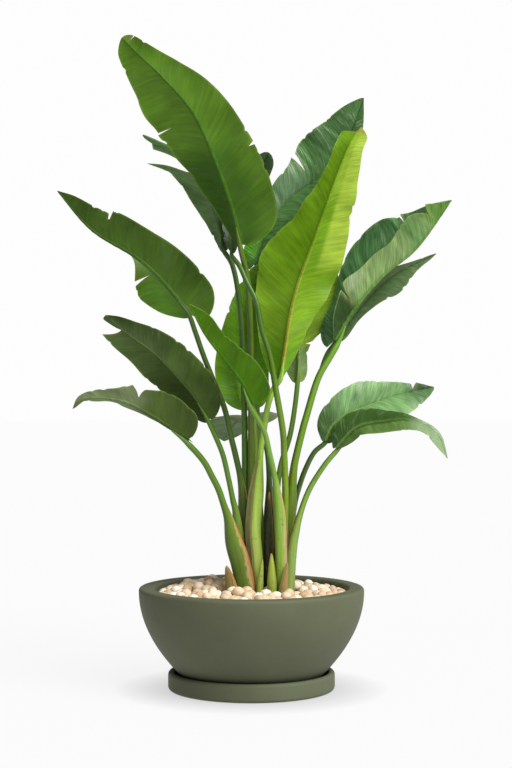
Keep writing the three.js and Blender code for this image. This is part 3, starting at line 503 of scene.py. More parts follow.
# A living leaf stem is smooth and waxy: satin, finely streaked along its length, with a pale bloom that
# rubs off in clouds and a few brown rub marks. Its dry edges are papery brown.
waxy_stem = new_material("leaf_stem_waxy_skin")
stem_paint = add_node(waxy_stem, "Attribute", {"attribute_name": "paint"})
stem_grain = add_node(waxy_stem, "Attribute", {"attribute_name": "grain"})
stem_place = add_node(waxy_stem, "TexCoord").outputs["Object"]
stem_stretch = add_node(waxy_stem, "VectorMath", {"operation": "MULTIPLY", 1: (420.0, 9.0, 1.0)},
                        {0: stem_grain.outputs["Vector"]})  # streaks 2 mm wide and 100 mm long
stem_streaks = add_node(waxy_stem, "TexNoise", {"Scale": 1.0, "Detail": 3.0}, {"Vector": stem_stretch})
stem_clouds = add_node(waxy_stem, "TexNoise", {"Scale": 32.0, "Detail": 4.0},
                       {"Vector": stem_place})  # clouds of about 30 mm
stem_bloom = add_node(waxy_stem, "MapRange", {"From Min": 0.45, "From Max": 0.75, "To Max": 0.06},
                      {"Value": stem_clouds})
stem_tone = add_node(waxy_stem, "MapRange",
                     {"From Min": 0.25, "From Max": 0.75, "To Min": 0.8, "To Max": 1.2},
                     {"Value": stem_streaks})
stem_streaked = add_node(waxy_stem, "VectorMath", {"operation": "MULTIPLY"}, {0: stem_paint, 1: stem_tone})
stem_colour = add_node(waxy_stem, "Mix", {"data_type": "RGBA", "B": linear("8fae86")},
                       {"Factor": stem_bloom, "A": stem_streaked})
stem_marks = add_node(waxy_stem, "TexNoise", {"Scale": 110.0, "Detail": 5.0, "Roughness": 0.65},
                      {"Vector": stem_place})  # patches 9 mm apart, with marks of 5 mm in their middles
stem_scars = add_node(waxy_stem, "MapRange", {"From Min": 0.56, "From Max": 0.68, "To Max": 0.5},
                      {"Value": stem_marks})
stem_scarred = add_node(waxy_stem, "Mix", {"data_type": "RGBA", "B": linear("7a5c34")},
                        {"Factor": stem_scars, "A": stem_colour})
stem_bump = add_node(waxy_stem, "Bump", {"Strength": 0.6, "Distance": 0.0005}, {"Height": stem_streaks})
stem_roughness = add_node(waxy_stem, "MapRange", {"To Min": 0.28, "To Max": 0.44}, {"Value": stem_clouds})
stem_shader = add_node(waxy_stem, "BsdfPrincipled", {"IOR": 1.45, "Specular IOR Level": 0.42},
                       {"Base Color": stem_scarred, "Roughness": stem_roughness, "Normal": stem_bump})
add_node(waxy_stem, "OutputMaterial", links={"Surface": stem_shader})


def stem_body(curve, outline, seam, turn):
    """A closed body along a curve. outline gives half width, half depth and how far the sheath's edge laps.

    It returns points, faces, the grain of the skin in metres round and along, and where each point lies.
    """
    length = curve[0][-1]
    distance = np.linspace(0, length, round(length / STALK_STEP) + 1)
    centre, forward = follow(curve, distance)
    across = unit(np.array([1, 0, 0]) - forward * forward[:, :1])
    back = np.cross(forward, across)
    wide, deep, lap = outline(distance / length, centre[:, 2])
    round_angle = np.linspace(0, 2 * math.pi, STALK_SIDES + 1)
    from_seam = np.minimum(round_angle, 2 * math.pi - round_angle)
    ledge = SHEATH_LAP * lap[:, None] * np.clip(1 - round_angle / LAP_SPREAD, LAP_LEAST, 1)
    groove = GROOVE_DEPTH * (1 - lap[:, None]) * np.exp(-(from_seam / GROOVE_SPREAD) ** 2)
    lift = ledge - np.minimum(groove, GROOVE_LIMIT * deep[:, None])
    seam_angle = np.radians(np.interp(centre[:, 2], np.linspace(SOIL_TOP, SEAM_TOP, len(seam)), seam))
    angle = seam_angle[:, None] + turn * round_angle
    points = (centre[:, None] + across[:, None] * ((wide[:, None] + lift) * np.cos(angle))[..., None]
              + back[:, None] * ((deep[:, None] + lift) * np.sin(angle))[..., None])

    corner = np.arange(angle.size).reshape(angle.shape)
    after = np.roll(corner, -1, axis=1)
    faces = np.stack([corner[:-1], after[:-1], after[1:], corner[1:]], axis=-1).reshape(-1, 4)
    caps = [corner[0][::-1], corner[-1]]
    if turn < 0:
        faces, caps = faces[:, ::-1], [cap[::-1] for cap in caps]

    def at_each(values):
        return np.broadcast_to(values, angle.shape)

    grain = np.stack([at_each(round_angle * GRAIN_RADIUS * MM), at_each(distance[:, None] * MM),
                      np.zeros(angle.shape)], axis=-1)
    where = {"height": at_each(centre[:, 2:]), "along": at_each(distance[:, None] / length),
             "round": at_each(round_angle), "lap": at_each(lap[:, None]), "angle": angle}
    faces = faces.tolist() + [cap.tolist() for cap in caps]
    return points.reshape(-1, 3), faces, grain.reshape(-1, 3), where


def stem_colours(colours, where, dry, dry_colour):
    """Green from foot to top, yellower towards the sheath's edge, with a reddish-brown dry strip there."""
    part = np.interp(where["height"], COLOUR_HEIGHTS, [0, 0.5, 1])
    # painted light and shade: a stalk's front is made lighter and its flanks darker
    facing_front = np.clip(-np.sin(where["angle"]), 0, 1) ** 2
    tone = PAINTED_SHADE_TONE + (PAINTED_LIGHT_TONE - PAINTED_SHADE_TONE) * facing_front
    paint = blend_colours(colours, part) * tone[..., None]
    lapped = np.minimum(EDGE_SHOWS * where["lap"], 1)
    paint = tinted(paint, EDGE_YELLOW, YELLOW_PART * (lapped * np.exp(-where["round"] / YELLOW_SPREAD)))
    ragged = 1 + sum(size * np.sin(where["height"] / length) for size, length in STRIP_WAVES)
    narrowing = np.interp(where["height"], STRIP_HEIGHTS, STRIP_NARROWING)
    border = (DRY_STRIP[0] + DRY_STRIP[1] * dry) * narrowing * ragged
    dry_strip = 1 - smoothstep(where["round"], border + CREAM_BORDER[0], border + CREAM_BORDER[1])
    paint = tinted(paint, STRIP_CREAM, lapped * dry_strip * CREAM_PART)
    brown_strip = 1 - smoothstep(where["round"], BROWN_BORDER[0] * border, BROWN_BORDER[1] * border)
    paint = tinted(paint, dry_colour, lapped * brown_strip * (BROWN_PART[0] + BROWN_PART[1] * dry))
    lower_edge = lapped * (where["round"] > 2 * math.pi - LOWER_EDGE_WIDTH)
    return tinted(paint, LOWER_EDGE_BROWN, LOWER_EDGE_PART * lower_edge)


def stalk_curve(leaf):
    """The stalk's way from the soil to the underside of its blade, under which it runs on."""
    base_place, _, base_normal, _ = rib_frame(leaf, 0)
    under_place, _, under_normal, _ = rib_frame(leaf, STALK_REACH)
    _, top_radius = leaf.get("petiole", USUAL_PETIOLE)
    return smooth_curve([[*leaf["root"], ROOT_HEIGHT], [*leaf["root"], SOIL_TOP], *leaf["stem"],
                         base_place - base_normal * (top_radius + BLADE_GAP),
                         under_place - under_normal * (top_radius * STALK_END + 2 * BLADE_HALF_THICKNESS)])


def stalk_outline(leaf, length, part, height):
    """The stalk's half width, half depth and lap of its sheath from foot to blade."""
    foot_radius, top_radius = leaf.get("petiole", USUAL_PETIOLE)
    sheath_width, sheath_depth, sheath_top = leaf["sheath"]
    sheath = 1 - smoothstep(height, sheath_top - SHEATH_TAPER, sheath_top)
    thin = np.interp(part, [1 - STALK_THINNING / length, 1], [1, STALK_END])
    stem = (foot_radius + (top_radius - foot_radius) * part) * thin
    return stem + (sheath_width - stem) * sheath, stem + (sheath_depth - stem) * sheath, sheath


for name, leaf in leaves.items():
    curve = stalk_curve(leaf)
    points, faces, grain, where = stem_body(curve, partial(stalk_outline, leaf, curve[0][-1]),
                                            leaf.get("seam", USUAL_SEAM), leaf.get("turn", USUAL_TURN))
    paint = stem_colours(leaf["colours"], where, leaf.get("dry", USUAL_DRYNESS),
                         leaf.get("dry_colour", USUAL_DRY_COLOUR))
    new_piece(f"stalk_{name}", points, faces, [waxy_stem], [f"{name}_stalk"],
              painted={"paint": paint.reshape(-1, 4), "grain": grain})

# ---- leaf blades ---------------------------------------------------------------------------------
# Each blade is one thin leathery sheet on both sides of a midrib that stands out underneath. Fine side
# veins run from the midrib to the margin, and wind tears the blade along them. It grew with its stalk.

# One entry for each leaf, in millimetres where nothing else is said.
# left and right: the two halves, as seen on the upper face with the tip ahead. widths and fold (degrees
# above flat) are told at equal steps from base to tip. lobe: how far the half reaches back at its base.
# horn: how far its corner reaches ahead at the tip. blunt: the part of the length over which the tip is
# rounded. pleat: the height of the folds along the side veins.
# tears: side (1 right, -1 left), at: the part of the way from base to tip, depth: the part of the half that
# is torn, gap: how wide it gapes at the margin, lean: how far its edges are drawn towards the tip, beyond:
# the half's width past the tear, against what it would be whole.
# faces: the colours of upper face and underside. rib_colour: the midrib's, and rib_fading: how soon it
# fades towards the tip. ridged: the side veins stand out strongly.
# tints: face, colour, from where to where along the blade (0 base, 1 tip) and across it (-1 left margin,
# 1 right margin), strength, and how softly it ends across the blade where that isn't TINT_EDGE.
blades = {
    "middle_back": {
        "left": {"widths": [10, 24, 36, 36, 30, 20], "fold": [20, 12], "lobe": 0},
        "right": {"widths": [10, 20, 36, 38, 32, 22], "fold": [20, 12], "lobe": 0},
        "faces": ["2e4a22", "3d5a2c"], "rib_colour": "4c6c2c",
    },
    "top_left": {
        "left": {"widths": [100, 110, 97, 74, 44, 22], "fold": [18, 8], "lobe": 5},
        "right": {"widths": [20, 62, 100, 110, 75, 24], "fold": [18, 8], "lobe": 10},
        "blunt": 0.05,
        "tears": [{"side": -1, "at": 0.33, "depth": 0.14, "gap": 9},
                  {"side": 1, "at": 0.55, "depth": 0.3, "gap": 8},
                  {"side": -1, "at": 0.965, "depth": 0.8, "gap": 8}],
        "faces": ["3f7030", "547c1e"], "rib_colour": "3c640c", "rib_fading": 0.1,
        "tints": [["under", "5c8420", 0.2, 0.9, -1, 0, 0.6], ["under", "5e8722", 0.3, 1.1, 0, 1.1, 1],
                  # the dark 355a10 tint near the base is a painted shadow
                  ["under", "355a10", -0.1, 0.4, -0.55, 1.2, 0.85, 0.35]],
    },
    "behind_top_left": {
        "left": {"widths": [14, 30, 50, 40, 6, 4], "fold": [30, 40], "lobe": 0},
        "right": {"widths": [14, 42, 72, 80, 48, 24], "fold": [30, 30], "lobe": 8},
        "pleat": 0.8,
        "tears": [{"side": 1, "at": 0.62, "depth": 0.7, "gap": 4, "lean": 100, "beyond": 0.42}],
        "faces": ["4f7a3c", "66864f"], "rib_colour": "4f7030",
    },
    "top_right": {
        "left": {"widths": [44, 36, 64, 97, 71, 18], "fold": [25, 25], "lobe": 20},
        "right": {"widths": [30, 60, 75, 62, 34, 4], "fold": [-5, -5], "lobe": 10},
        "pleat": 1.0,
        "tears": [{"side": -1, "at": 0.5, "depth": 0.6, "gap": 26, "lean": -10}],
        "faces": ["588646", "6c9450"], "rib_colour": "5c8440", "ridged": True,
        "tints": [["upper", "72926a", 0.2, 0.5, -1.1, 0, 0.85], ["upper", "529812", 0, 0.22, -1, 0, 1],
                  ["upper", "446a38", 0.62, 1.1, -1.1, 1.1, 0.55]],
    },
    "broad_back": {
        "left": {"widths": [62, 78, 66, 54, 42, 24], "fold": [15, 15], "lobe": 10},
        "right": {"widths": [45, 60, 62, 60, 50, 20], "fold": [15, 15], "lobe": 10},
        "faces": ["6aa00e", "74a424"], "rib_colour": "7ca03a",
    },
    "behind_centre": {
        "left": {"widths": [26, 24, 68, 67, 40, 10], "fold": [15, 15], "lobe": 12},
        "right": {"widths": [28, 44, 55, 50, 38, 10], "fold": [15, 15], "lobe": 15},
        "tears": [{"side": -1, "at": 0.22, "depth": 0.6, "gap": 12, "beyond": 1.28}],
        "faces": ["7cac24", "96b834"], "rib_colour": "86a45c",
        "tints": [["under", "869c68", 0, 0.2, -1, 1, 0.9]],
    },
    "back": {
        "left": {"widths": [40, 75, 82, 72, 50, 10], "fold": [12, 8], "lobe": 5},
        "right": {"widths": [40, 74, 76, 70, 50, 10], "fold": [2, -4], "lobe": 5},
        "pleat": 0.8,
        "faces": ["96a878", "6c845c"], "rib_colour": "4c6a34",
    },
    "upper_right": {
        "left": {"widths": [54, 72, 122, 120, 66, 10], "fold": [40, 60], "lobe": 24},
        "right": {"widths": [34, 76, 60, 72, 76, 14], "fold": [42, 68, 70, 68, 60], "lobe": 0},
        "pleat": 1.3,
        "tears": [{"side": 1, "at": 0.22, "depth": 0.85, "gap": 14},
                  {"side": 1, "at": 0.86, "depth": 0.5, "gap": 22},
                  {"side": -1, "at": 0.72, "depth": 0.25, "gap": 8}],
        "faces": ["527f4c", "91b06b"], "rib_colour": "5f8f34", "ridged": True,
        # 2e4a1a is painted shade over the base, and 62904c painted shade before the tip
        "tints": [["under", "2e4a1a", -0.1, 0.24, -1, 1, 1], ["under", "b4c49c", 0.24, 0.34, 0.5, 1, 0.7],
                  ["under", "62904c", 0.66, 0.8, -1.1, 1.1, 0.7],
                  ["under", "6a9c3c", 0.84, 1.1, -1, 1, 0.9]],
    },
    "narrow_right": {
        "left": {"widths": [20, 20, 25, 23, 10, 3], "fold": [28, 28], "lobe": 0},
        "right": {"widths": [20, 20, 38, 50, 20, 3], "fold": [28, 28], "lobe": 0},
        "pleat": 0.8,
        "faces": ["567044", "5c7450"], "rib_colour": "628246",
    },
    "middle_right_back": {
        "left": {"widths": [22, 52, 62, 40, 22, 4], "fold": [20, 20], "lobe": 6},
        "right": {"widths": [30, 52, 68, 72, 46, 14], "fold": [20, 20], "lobe": 5},
        "pleat": 1.2,
        "tears": [{"side": -1, "at": 0.82, "depth": 0.8, "gap": 12}],
        "faces": ["78a264", "7ca068"], "rib_colour": "8cb05c", "ridged": True,
        "tints": [["upper", "34541f", -0.1, 0.2, -1.1, 1.1, 0.8],
                  ["upper", "8cb47c", 0.26, 0.6, -1.1, 0, 0.4],
                  ["upper", "4c6e44", 0.74, 1.1, -1.1, 1.1, 0.7],
                  ["upper", "2c4620", 0.86, 1.1, -1.1, 0, 0.85]],
    },
    "upper_left": {
        "left": {"widths": [84, 86, 74, 74, 54, 8], "fold": [20, 25, 30, 33], "lobe": 35},
        "right": {"widths": [30, 82, 60, 50, 36, 6], "fold": [0, 5, 65, 58, 45], "lobe": 5},
        "pleat": 0.7,
        "tears": [{"side": 1, "at": 0.3, "depth": 0.7, "gap": 11},
                  {"side": -1, "at": 0.64, "depth": 0.3, "gap": 8, "beyond": 0.8}],
        "faces": ["3f6f2c", "44621a"], "rib_colour": "3c5c20",
        # the 84ac44 and 84ac3c tints are painted light: the right half is lighter where it is lit
        "tints": [["under", "6c9c34", 0, 0.4, 0, 1, 0.7], ["upper", "84ac44", 0.24, 0.56, 0.1, 1.1, 0.8],
                  ["under", "649828", -0.1, 0.3, 0.3, 1.1, 0.6],
                  ["under", "84ac3c", 0.34, 0.62, 0.1, 1.1, 0.9],
                  ["under", "4f7c1a", 0, 0.14, -1, 0, 0.15]],
    },
    "middle_left": {
        "left": {"widths": [50, 72, 66, 54, 34, 8], "fold": [22, 15], "lobe": 10},
        "right": {"widths": [24, 50, 62, 56, 45, 26], "fold": [22, 15], "lobe": 10},
        "pleat": 0.8,
        "tears": [{"side": 1, "at": 0.85, "depth": 0.9, "gap": 16, "lean": 34, "beyond": 0.3}],
        "faces": ["3f5f2c", "34461a"], "rib_colour": "44581f",
        "tints": [["under", "5a7038", -0.1, 1.1, 0, 1.1, 0.9], ["under", "4a6226", -0.1, 0.5, -1.1, 0, 0.9],
                  ["under", "445a26", -0.1, 0.5, 0, 1.1, 0.5]],
    },
    "centre": {
        "left": {"widths": [8, 58, 94, 80, 58, 29], "fold": [25, 25], "lobe": 5, "horn": 16},
        "right": {"widths": [40, 90, 120, 66, 36, 38], "fold": [25, 25], "lobe": 8, "horn": -4},
        "blunt": 0.02,
        "faces": ["6a9a20", "6b9610"], "rib_colour": "a8a03c", "rib_fading": 1.5,
        # the two a2bc3c tints are painted light: the left half is lighter where it turns towards the light
        "tints": [["under", "a2bc3c", 0.45, 1.1, -1.1, -0.36, 0.9],
                  ["under", "a2bc3c", 0.72, 1.1, -0.36, 0, 0.5],
                  ["under", "82aa28", 0.1, 0.36, -1.1, 1.1, 0.7], ["under", "4f8a14", 0, 0.14, -1, 1, 0.4]],
    },
    "front": {
        "left": {"widths": [60, 60, 52, 40, 34, 6], "fold": [35, 35], "lobe": 5},
        "right": {"widths": [40, 55, 50, 40, 30, 6], "fold": [35, 35], "lobe": 5},
        "faces": ["5c9418", "528204"], "rib_colour": "3c7014",
    },
    "middle_right_front": {
        "left": {"widths": [30, 46, 32, 10, 9, 3], "fold": [5, 10], "lobe": 10},
        "right": {"widths": [10, 34, 47, 43, 36, 4], "fold": [5, 10], "lobe": 5},
        "pleat": 0.9,
        "faces": ["3d5e24", "6a9838"], "rib_colour": "7ca04c",
        "tints": [["upper", "6a8c44", 0.05, 0.6, 0.3, 1.1, 0.8],
                  ["upper", "94ac80", 0.62, 1.1, -1.1, 1.1, 0.85]],
    },
    "lower_left": {
        "left": {"widths": [70, 76, 60, 34, 18, 3], "fold": [32, 25], "lobe": 5},
        "right": {"widths": [50, 60, 55, 40, 20, 3], "fold": [32, 25], "lobe": 15},
        "pleat": 0.9,
        "tears": [{"side": -1, "at": 0.47, "depth": 0.5, "gap": 24, "beyond": 0.9}],
        "faces": ["4c6a2c", "52682a"], "rib_colour": "3e5420",
        "tints": [["under", "7c8c60", 0.42, 1.1, -1.1, 1.1, 0.9],
                  ["under", "5c5a38", 0.93, 1.2, -1.1, 1.1, 0.7]],
    },
}

BLADE_STEP = 5  # between a blade's cross sections
BLADE_COLUMNS = 14  # across half a blade, beside the midrib
KEEL_COLUMNS = 4  # across half the midrib
END_ROWS = 9  # cross sections in a rounded end
END_ROUNDING = 0.1  # part of the length over which base and tip are rounded
BASE_WIDTH = 0.2  # what is left of the width at the very base
TIP_CUT = 0.003  # the last cross section is this part of the rounding before the tip's point
SHEET_PART = 0.7  # of BLADE_HALF_THICKNESS: the sheet here is thinner than the CAD solid's

VEIN_SWEEP = 0.22  # side veins lean towards the tip by this part of the half's greatest width
SWEEP_INSIDE = 0.7  # how much of that is reached close to the midrib already
LOBE_FADE = 5  # how fast a base lobe fades towards the tip, as a power
HORN_RISE = 8  # how late a corner of the tip runs out past the midrib's end, as a power
CAMBER = 0.055  # how far half a blade arches, as a part of its width

KEEL_DEPTH = 6  # of the midrib below the sheet
KEEL_HALF_WIDTH = 6
KEEL_NARROWING = [1.05, 0.75]  # part of that half width at the base, and what of it goes towards the tip
KEEL_PART = 0.35  # the midrib never takes up more of the half blade
KEEL_ROUND = 0.8  # below 1 the midrib is fuller than a cosine
KEEL_RISE = [1 / 3, 3]  # part of its depth at the base, and how fast it grows from there
RIB_GROOVE = 0.7  # depth of the groove over the midrib, in the upper face

TEAR_FADE = 42  # how far along the blade a tear pulls its edges apart
LEAN_FADE = 125  # how far along the blade a leaning tear draws its edges towards the tip
TEAR_CURL = 4  # how far its edges curl at the margin, one up and the other down
TEAR_DRY = 3  # how far from the tear its edges are dry
NICKS = 5  # small nicks in each margin
NICK_PLACES = [0.08, 0.95]
NICK_DEPTHS = [1.5, 5]
NICK_LIMIT = 0.2  # a nick is never deeper than this part of the width
NICK_HALF_LENGTH = 4

MARGIN_WAVE = 4  # height of the longer wave at the margin
WAVE_LENGTHS = [23, 13.7]  # in millimetres along the blade for each radian of the wave
SECOND_WAVE = 0.7  # how high the shorter one is against the longer
WAVE_WIDTH = 70  # a half narrower than this waves less
PLEAT = 0.4  # height of the shallow folds along the side veins, where the table tells no other
PLEAT_SPACING = 21
SECOND_PLEAT = 3.9  # radians of a second, longer row of folds in that spacing

VEIN_BEND = 14  # length over which a side vein turns off the midrib
VEIN_LEAN = 0.28  # how much the fine veins lean towards the tip on their way to the margin
TINT_END = 0.06  # part of the length before and past a tint's end over which it fades
TINT_EDGE = 0.08  # the same across half a blade
RIB_FADING = 0.85
RIB_BORDER = [0.3, 0.6]  # heights of the midrib, as parts, between which its colour sets in
RIB_PART = [0.6, 0.9]  # how strong that colour is, on the upper face and on the underside
MARGIN_YELLOW = "a2b858"
MARGIN_PART = 0.3
MARGIN_BORDER = [0.96, 0.99]  # parts of the half's width
TEAR_BROWN = "9c9050"
TEAR_PART = 0.4
TIP_BROWN = "86703c"
TIP_PART = 0.6
TIP_BORDER = [0.985, 0.998]  # parts of the length


def leaf_face(name, roughness, specular, vein_tone, vein_shine, relief):
    """The skin of one face of a blade: fine irregular side veins, clouds, and light from behind.

    vein_tone and vein_shine: how much darker the veins are, and how much paler their crests are,
    partly as pale wax and partly as a painted highlight. relief: their height, in metres.
    """
    skin = new_material(name)
    paint = add_node(skin, "Attribute", {"attribute_name": "paint"})
    grain = add_node(skin, "Attribute", {"attribute_name": "grain"})
    place = add_node(skin, "TexCoord").outputs["Object"]
    clouds = add_node(skin, "TexNoise", {"Scale": 16.0, "Detail": 4.0},
                      {"Vector": place})  # clouds of about 60 mm
    # side veins in bundles 11 mm apart, with finer ones of 4 mm between: real ones lie twice as close
    ridges = []
    for stretch in ((6.0, 90.0, 1.0), (10.0, 260.0, 1.0)):
        stretched = add_node(skin, "VectorMath", {"operation": "MULTIPLY", 1: stretch},
                             {0: grain.outputs["Vector"]})
        ridges.append(add_node(skin, "TexNoise", {"Scale": 1.0, "Detail": 2.0}, {"Vector": stretched}))
    veins = add_node(skin, "Mix", {"Factor": 0.5}, {"A": ridges[0], "B": ridges[1]})
    tone = add_node(skin, "MapRange",
                    {"From Min": 0.35, "From Max": 0.65, "To Min": 1 + vein_tone, "To Max": 1 - vein_tone},
                    {"Value": veins})
    cloud_tone = add_node(skin, "MapRange",
                          {"From Min": 0.3, "From Max": 0.7, "To Min": 0.88, "To Max": 1.12},
                          {"Value": clouds})
    both_tones = add_node(skin, "Math", {"operation": "MULTIPLY"}, {0: tone, 1: cloud_tone})
    shaded = add_node(skin, "VectorMath", {"operation": "MULTIPLY"}, {0: paint, 1: both_tones})
    # here and there the ridges are paler: partly pale wax, partly a painted highlight
    crests = add_node(skin, "MapRange", {"From Min": 0.52, "From Max": 0.66}, {"Value": veins})
    patches = add_node(skin, "MapRange", {"From Min": 0.42, "From Max": 0.62, "To Max": vein_shine},
                       {"Value": clouds})
    wax_and_painted_highlight = add_node(skin, "Math", {"operation": "MULTIPLY"}, {0: crests, 1: patches})
    colour = add_node(skin, "Mix", {"data_type": "RGBA", "B": linear("a8c294")},
                      {"Factor": wax_and_painted_highlight, "A": shaded})
    bump = add_node(skin, "Bump", {"Strength": 0.8, "Distance": relief}, {"Height": veins})
    gloss = add_node(skin, "MapRange", {"To Min": roughness - 0.06, "To Max": roughness + 0.08},
                     {"Value": clouds})
    surface = add_node(skin, "BsdfPrincipled", {"IOR": 1.45, "Specular IOR Level": specular},
                       {"Base Color": colour, "Roughness": gloss, "Normal": bump})
    # light that comes through living tissue is yellower than what it reflects
    glow_colour = add_node(skin, "VectorMath", {"operation": "MULTIPLY", 1: (1.9, 1.7, 0.9)}, {0: colour})
    glow = add_node(skin, "BsdfTranslucent", links={"Color": glow_colour})
    both = add_node(skin, "MixShader", {0: 0.2}, {1: surface, 2: glow})
    add_node(skin, "OutputMaterial", links={"Surface": both})
    return skin


# The upper face has a waxy cuticle: it shines softly, and its vein ridges catch the light. The underside
# is matt, with a powdery bloom. Light comes through both.
waxy_skins = [
    leaf_face("leaf_upper_face_waxy_cuticle", roughness=0.34, specular=0.4, vein_tone=0.16, vein_shine=0.4,
              relief=0.0022),
    leaf_face("leaf_underside_matt_bloom", roughness=0.5, specular=0.18, vein_tone=0.2, vein_shine=0.12,
              relief=0.0018)]
ridged_skins = [
    leaf_face("leaf_upper_face_strongly_veined", roughness=0.32, specular=0.45, vein_tone=0.34,
              vein_shine=0.75, relief=0.004),
    leaf_face("leaf_underside_strongly_veined", roughness=0.46, specular=0.2, vein_tone=0.36,
              vein_shine=0.5, relief=0.0032)]


def blade_rows(blade, length):
    """Cross sections as parts of the length, closer at the ends, with one at each tear."""
    tip_part = blade.get("blunt", END_ROUNDING)
    end = 1 - np.cos(np.linspace(0, math.pi / 2, END_ROWS))
    count = round((1 - END_ROUNDING - tip_part) * length / BLADE_STEP) + 1
    middle = np.linspace(END_ROUNDING, 1 - tip_part, count)[1:-1]
    rows = np.concatenate([END_ROUNDING * end, middle, 1 - tip_part * end[:0:-1], [1 - TIP_CUT * tip_part]])
    for tear in blade.get("tears", []):
        rows[np.argmin(np.abs(rows - tear["at"]))] = tear["at"]
    return rows


def half_rows(rows, tears):
    """Which rows half a blade has, and on which bank of a tear: a torn row is there twice, as -1 and 1."""
    order = [(i, 0) for i in range(len(rows))]
    for tear in tears:
        i = int(np.argmin(np.abs(rows - tear["at"])))
        order.remove((i, 0))
        order += [(i, -1), (i, 1)]
    return np.array(sorted(order)).T


def half_width(half, tip_part, v):
    """The width of half a blade at parts of its length, with a rounded base and tip."""
    widths = np.array(half["widths"], float)
    padded = np.concatenate([[2 * widths[0] - widths[1]], widths, [2 * widths[-1] - widths[-2]]])
    step = np.minimum(np.floor(v * (len(widths) - 1)), len(widths) - 2).astype(int)
    width = spline(*(padded[step + i] for i in range(4)), v * (len(widths) - 1) - step)
    near_ends = np.minimum([v / END_ROUNDING, (1 - v) / tip_part], 1)
    base, tip = np.sqrt(1 - (1 - near_ends) ** 2)
    return width * (BASE_WIDTH + (1 - BASE_WIDTH) * base) * tip


def worn_width(width, tears, v, bank, length, chance):
    """Half a blade's width as wind and handling left it: another one past a tear, and small nicks."""
    for tear in tears:
        past = (v > tear["at"]) | (bank > 0) & (v == tear["at"])
        width = width * np.where(past, tear.get("beyond", 1), 1)
    nicks = chance.uniform(*NICK_PLACES, NICKS)
    for nick, depth in zip(nicks, chance.uniform(*NICK_DEPTHS, NICKS)):
        away = (v - nick) * length / NICK_HALF_LENGTH
        width = width - np.minimum(depth, NICK_LIMIT * width) * np.exp(-away ** 2)
    return width


def torn_edges(tears, v, s, bank, length):
    """How far tears move a half's points along the blade and up, and where their edges have dried."""
    shift, curl, torn = np.zeros((3, *s.shape))
    for tear in tears:
        opened = np.clip((s - (1 - tear["depth"])) / tear["depth"], 0, 1)
        away = (v - tear["at"]) * length
        way = np.where(away == 0, bank[:, None], np.sign(away))
        fade = np.clip(1 - np.abs(away) / TEAR_FADE, 0, 1)
        shift += way * tear["gap"] / 2 * opened * fade
        shift += tear.get("lean", 0) * opened * np.clip(1 - np.abs(away) / LEAN_FADE, 0, 1)
        curl += way * TEAR_CURL * opened ** 2 * fade
        torn = np.maximum(torn, (opened > 0) * np.exp(-np.abs(away) / TEAR_DRY))
    return shift, curl, torn


def half_blade(leaf, blade, side, rows, length, chance):
    """One half of a blade: which rows it has, their banks, its points and the facts of each point."""
    half = blade["left"] if side < 0 else blade["right"]
    tears = [tear for tear in blade.get("tears", []) if tear["side"] == side]
    index, bank = half_rows(rows, tears)
    v = rows[index]
    width = half_width(half, blade.get("blunt", END_ROUNDING), v)
    width = worn_width(width, tears, v, bank, length, chance)
    keel_width = KEEL_HALF_WIDTH * (KEEL_NARROWING[0] - KEEL_NARROWING[1] * v)
    keel_edge = np.minimum(keel_width / np.maximum(width, 1), KEEL_PART)
    inner = np.linspace(0, 1, KEEL_COLUMNS + 1)[:, None] * keel_edge
    outer = keel_edge + (1 - keel_edge) * np.linspace(0, 1, BLADE_COLUMNS + 1)[1:, None]
    s = np.concatenate([inner, outer]).T
    v = np.broadcast_to(v[:, None], s.shape)
    width = width[:, None]
    run = length * v
    reach = width * s

    shift, curl, torn = torn_edges(tears, v, s, bank, length)
    sweep = VEIN_SWEEP * max(half["widths"]) * np.sin(math.pi * v) * (SWEEP_INSIDE + (1 - SWEEP_INSIDE) * s)
    lobe = half["lobe"] * (1 - v) ** LOBE_FADE
    horn = half.get("horn", 0) * v ** HORN_RISE
    along = np.minimum(run + (sweep - lobe + shift) * s, length) + horn * s
    place, _, normal, right = rib_frame(leaf, along)

    phases = chance.uniform(0, 2 * math.pi, 3)
    wave = (np.sin(run / WAVE_LENGTHS[0] + phases[0])
            + SECOND_WAVE * np.sin(run / WAVE_LENGTHS[1] + phases[1]))
    pleats = (np.sin(2 * math.pi * run / PLEAT_SPACING + phases[2])
              + np.sin(run / PLEAT_SPACING * SECOND_PLEAT + phases[0]))
    lift = MARGIN_WAVE * np.minimum(width / WAVE_WIDTH, 1) * wave * s ** 3 + curl
    lift += CAMBER * width * 4 * s * (1 - s)
    lift += blade.get("pleat", PLEAT) * pleats * np.sqrt(np.clip(s * (1 - s), 0, 1))
    fold = np.radians(np.interp(v, np.linspace(0, 1, len(half["fold"])), half["fold"]))
    points = (place + right * (side * (reach * np.cos(fold) - lift * np.sin(fold)))[..., None]
              + normal * (reach * np.sin(fold) + lift * np.cos(fold))[..., None])

    bend = VEIN_BEND * np.exp(-reach / VEIN_BEND)
    grain = np.stack([side * reach * MM, (run + bend - VEIN_LEAN * reach) * MM, s], axis=-1)
    keel = np.cos(np.clip(s / keel_edge[:, None], 0, 1) * math.pi / 2) ** KEEL_ROUND
    return index, bank, points, {"v": v, "s": s * side, "torn": torn, "keel": keel, "grain": grain}


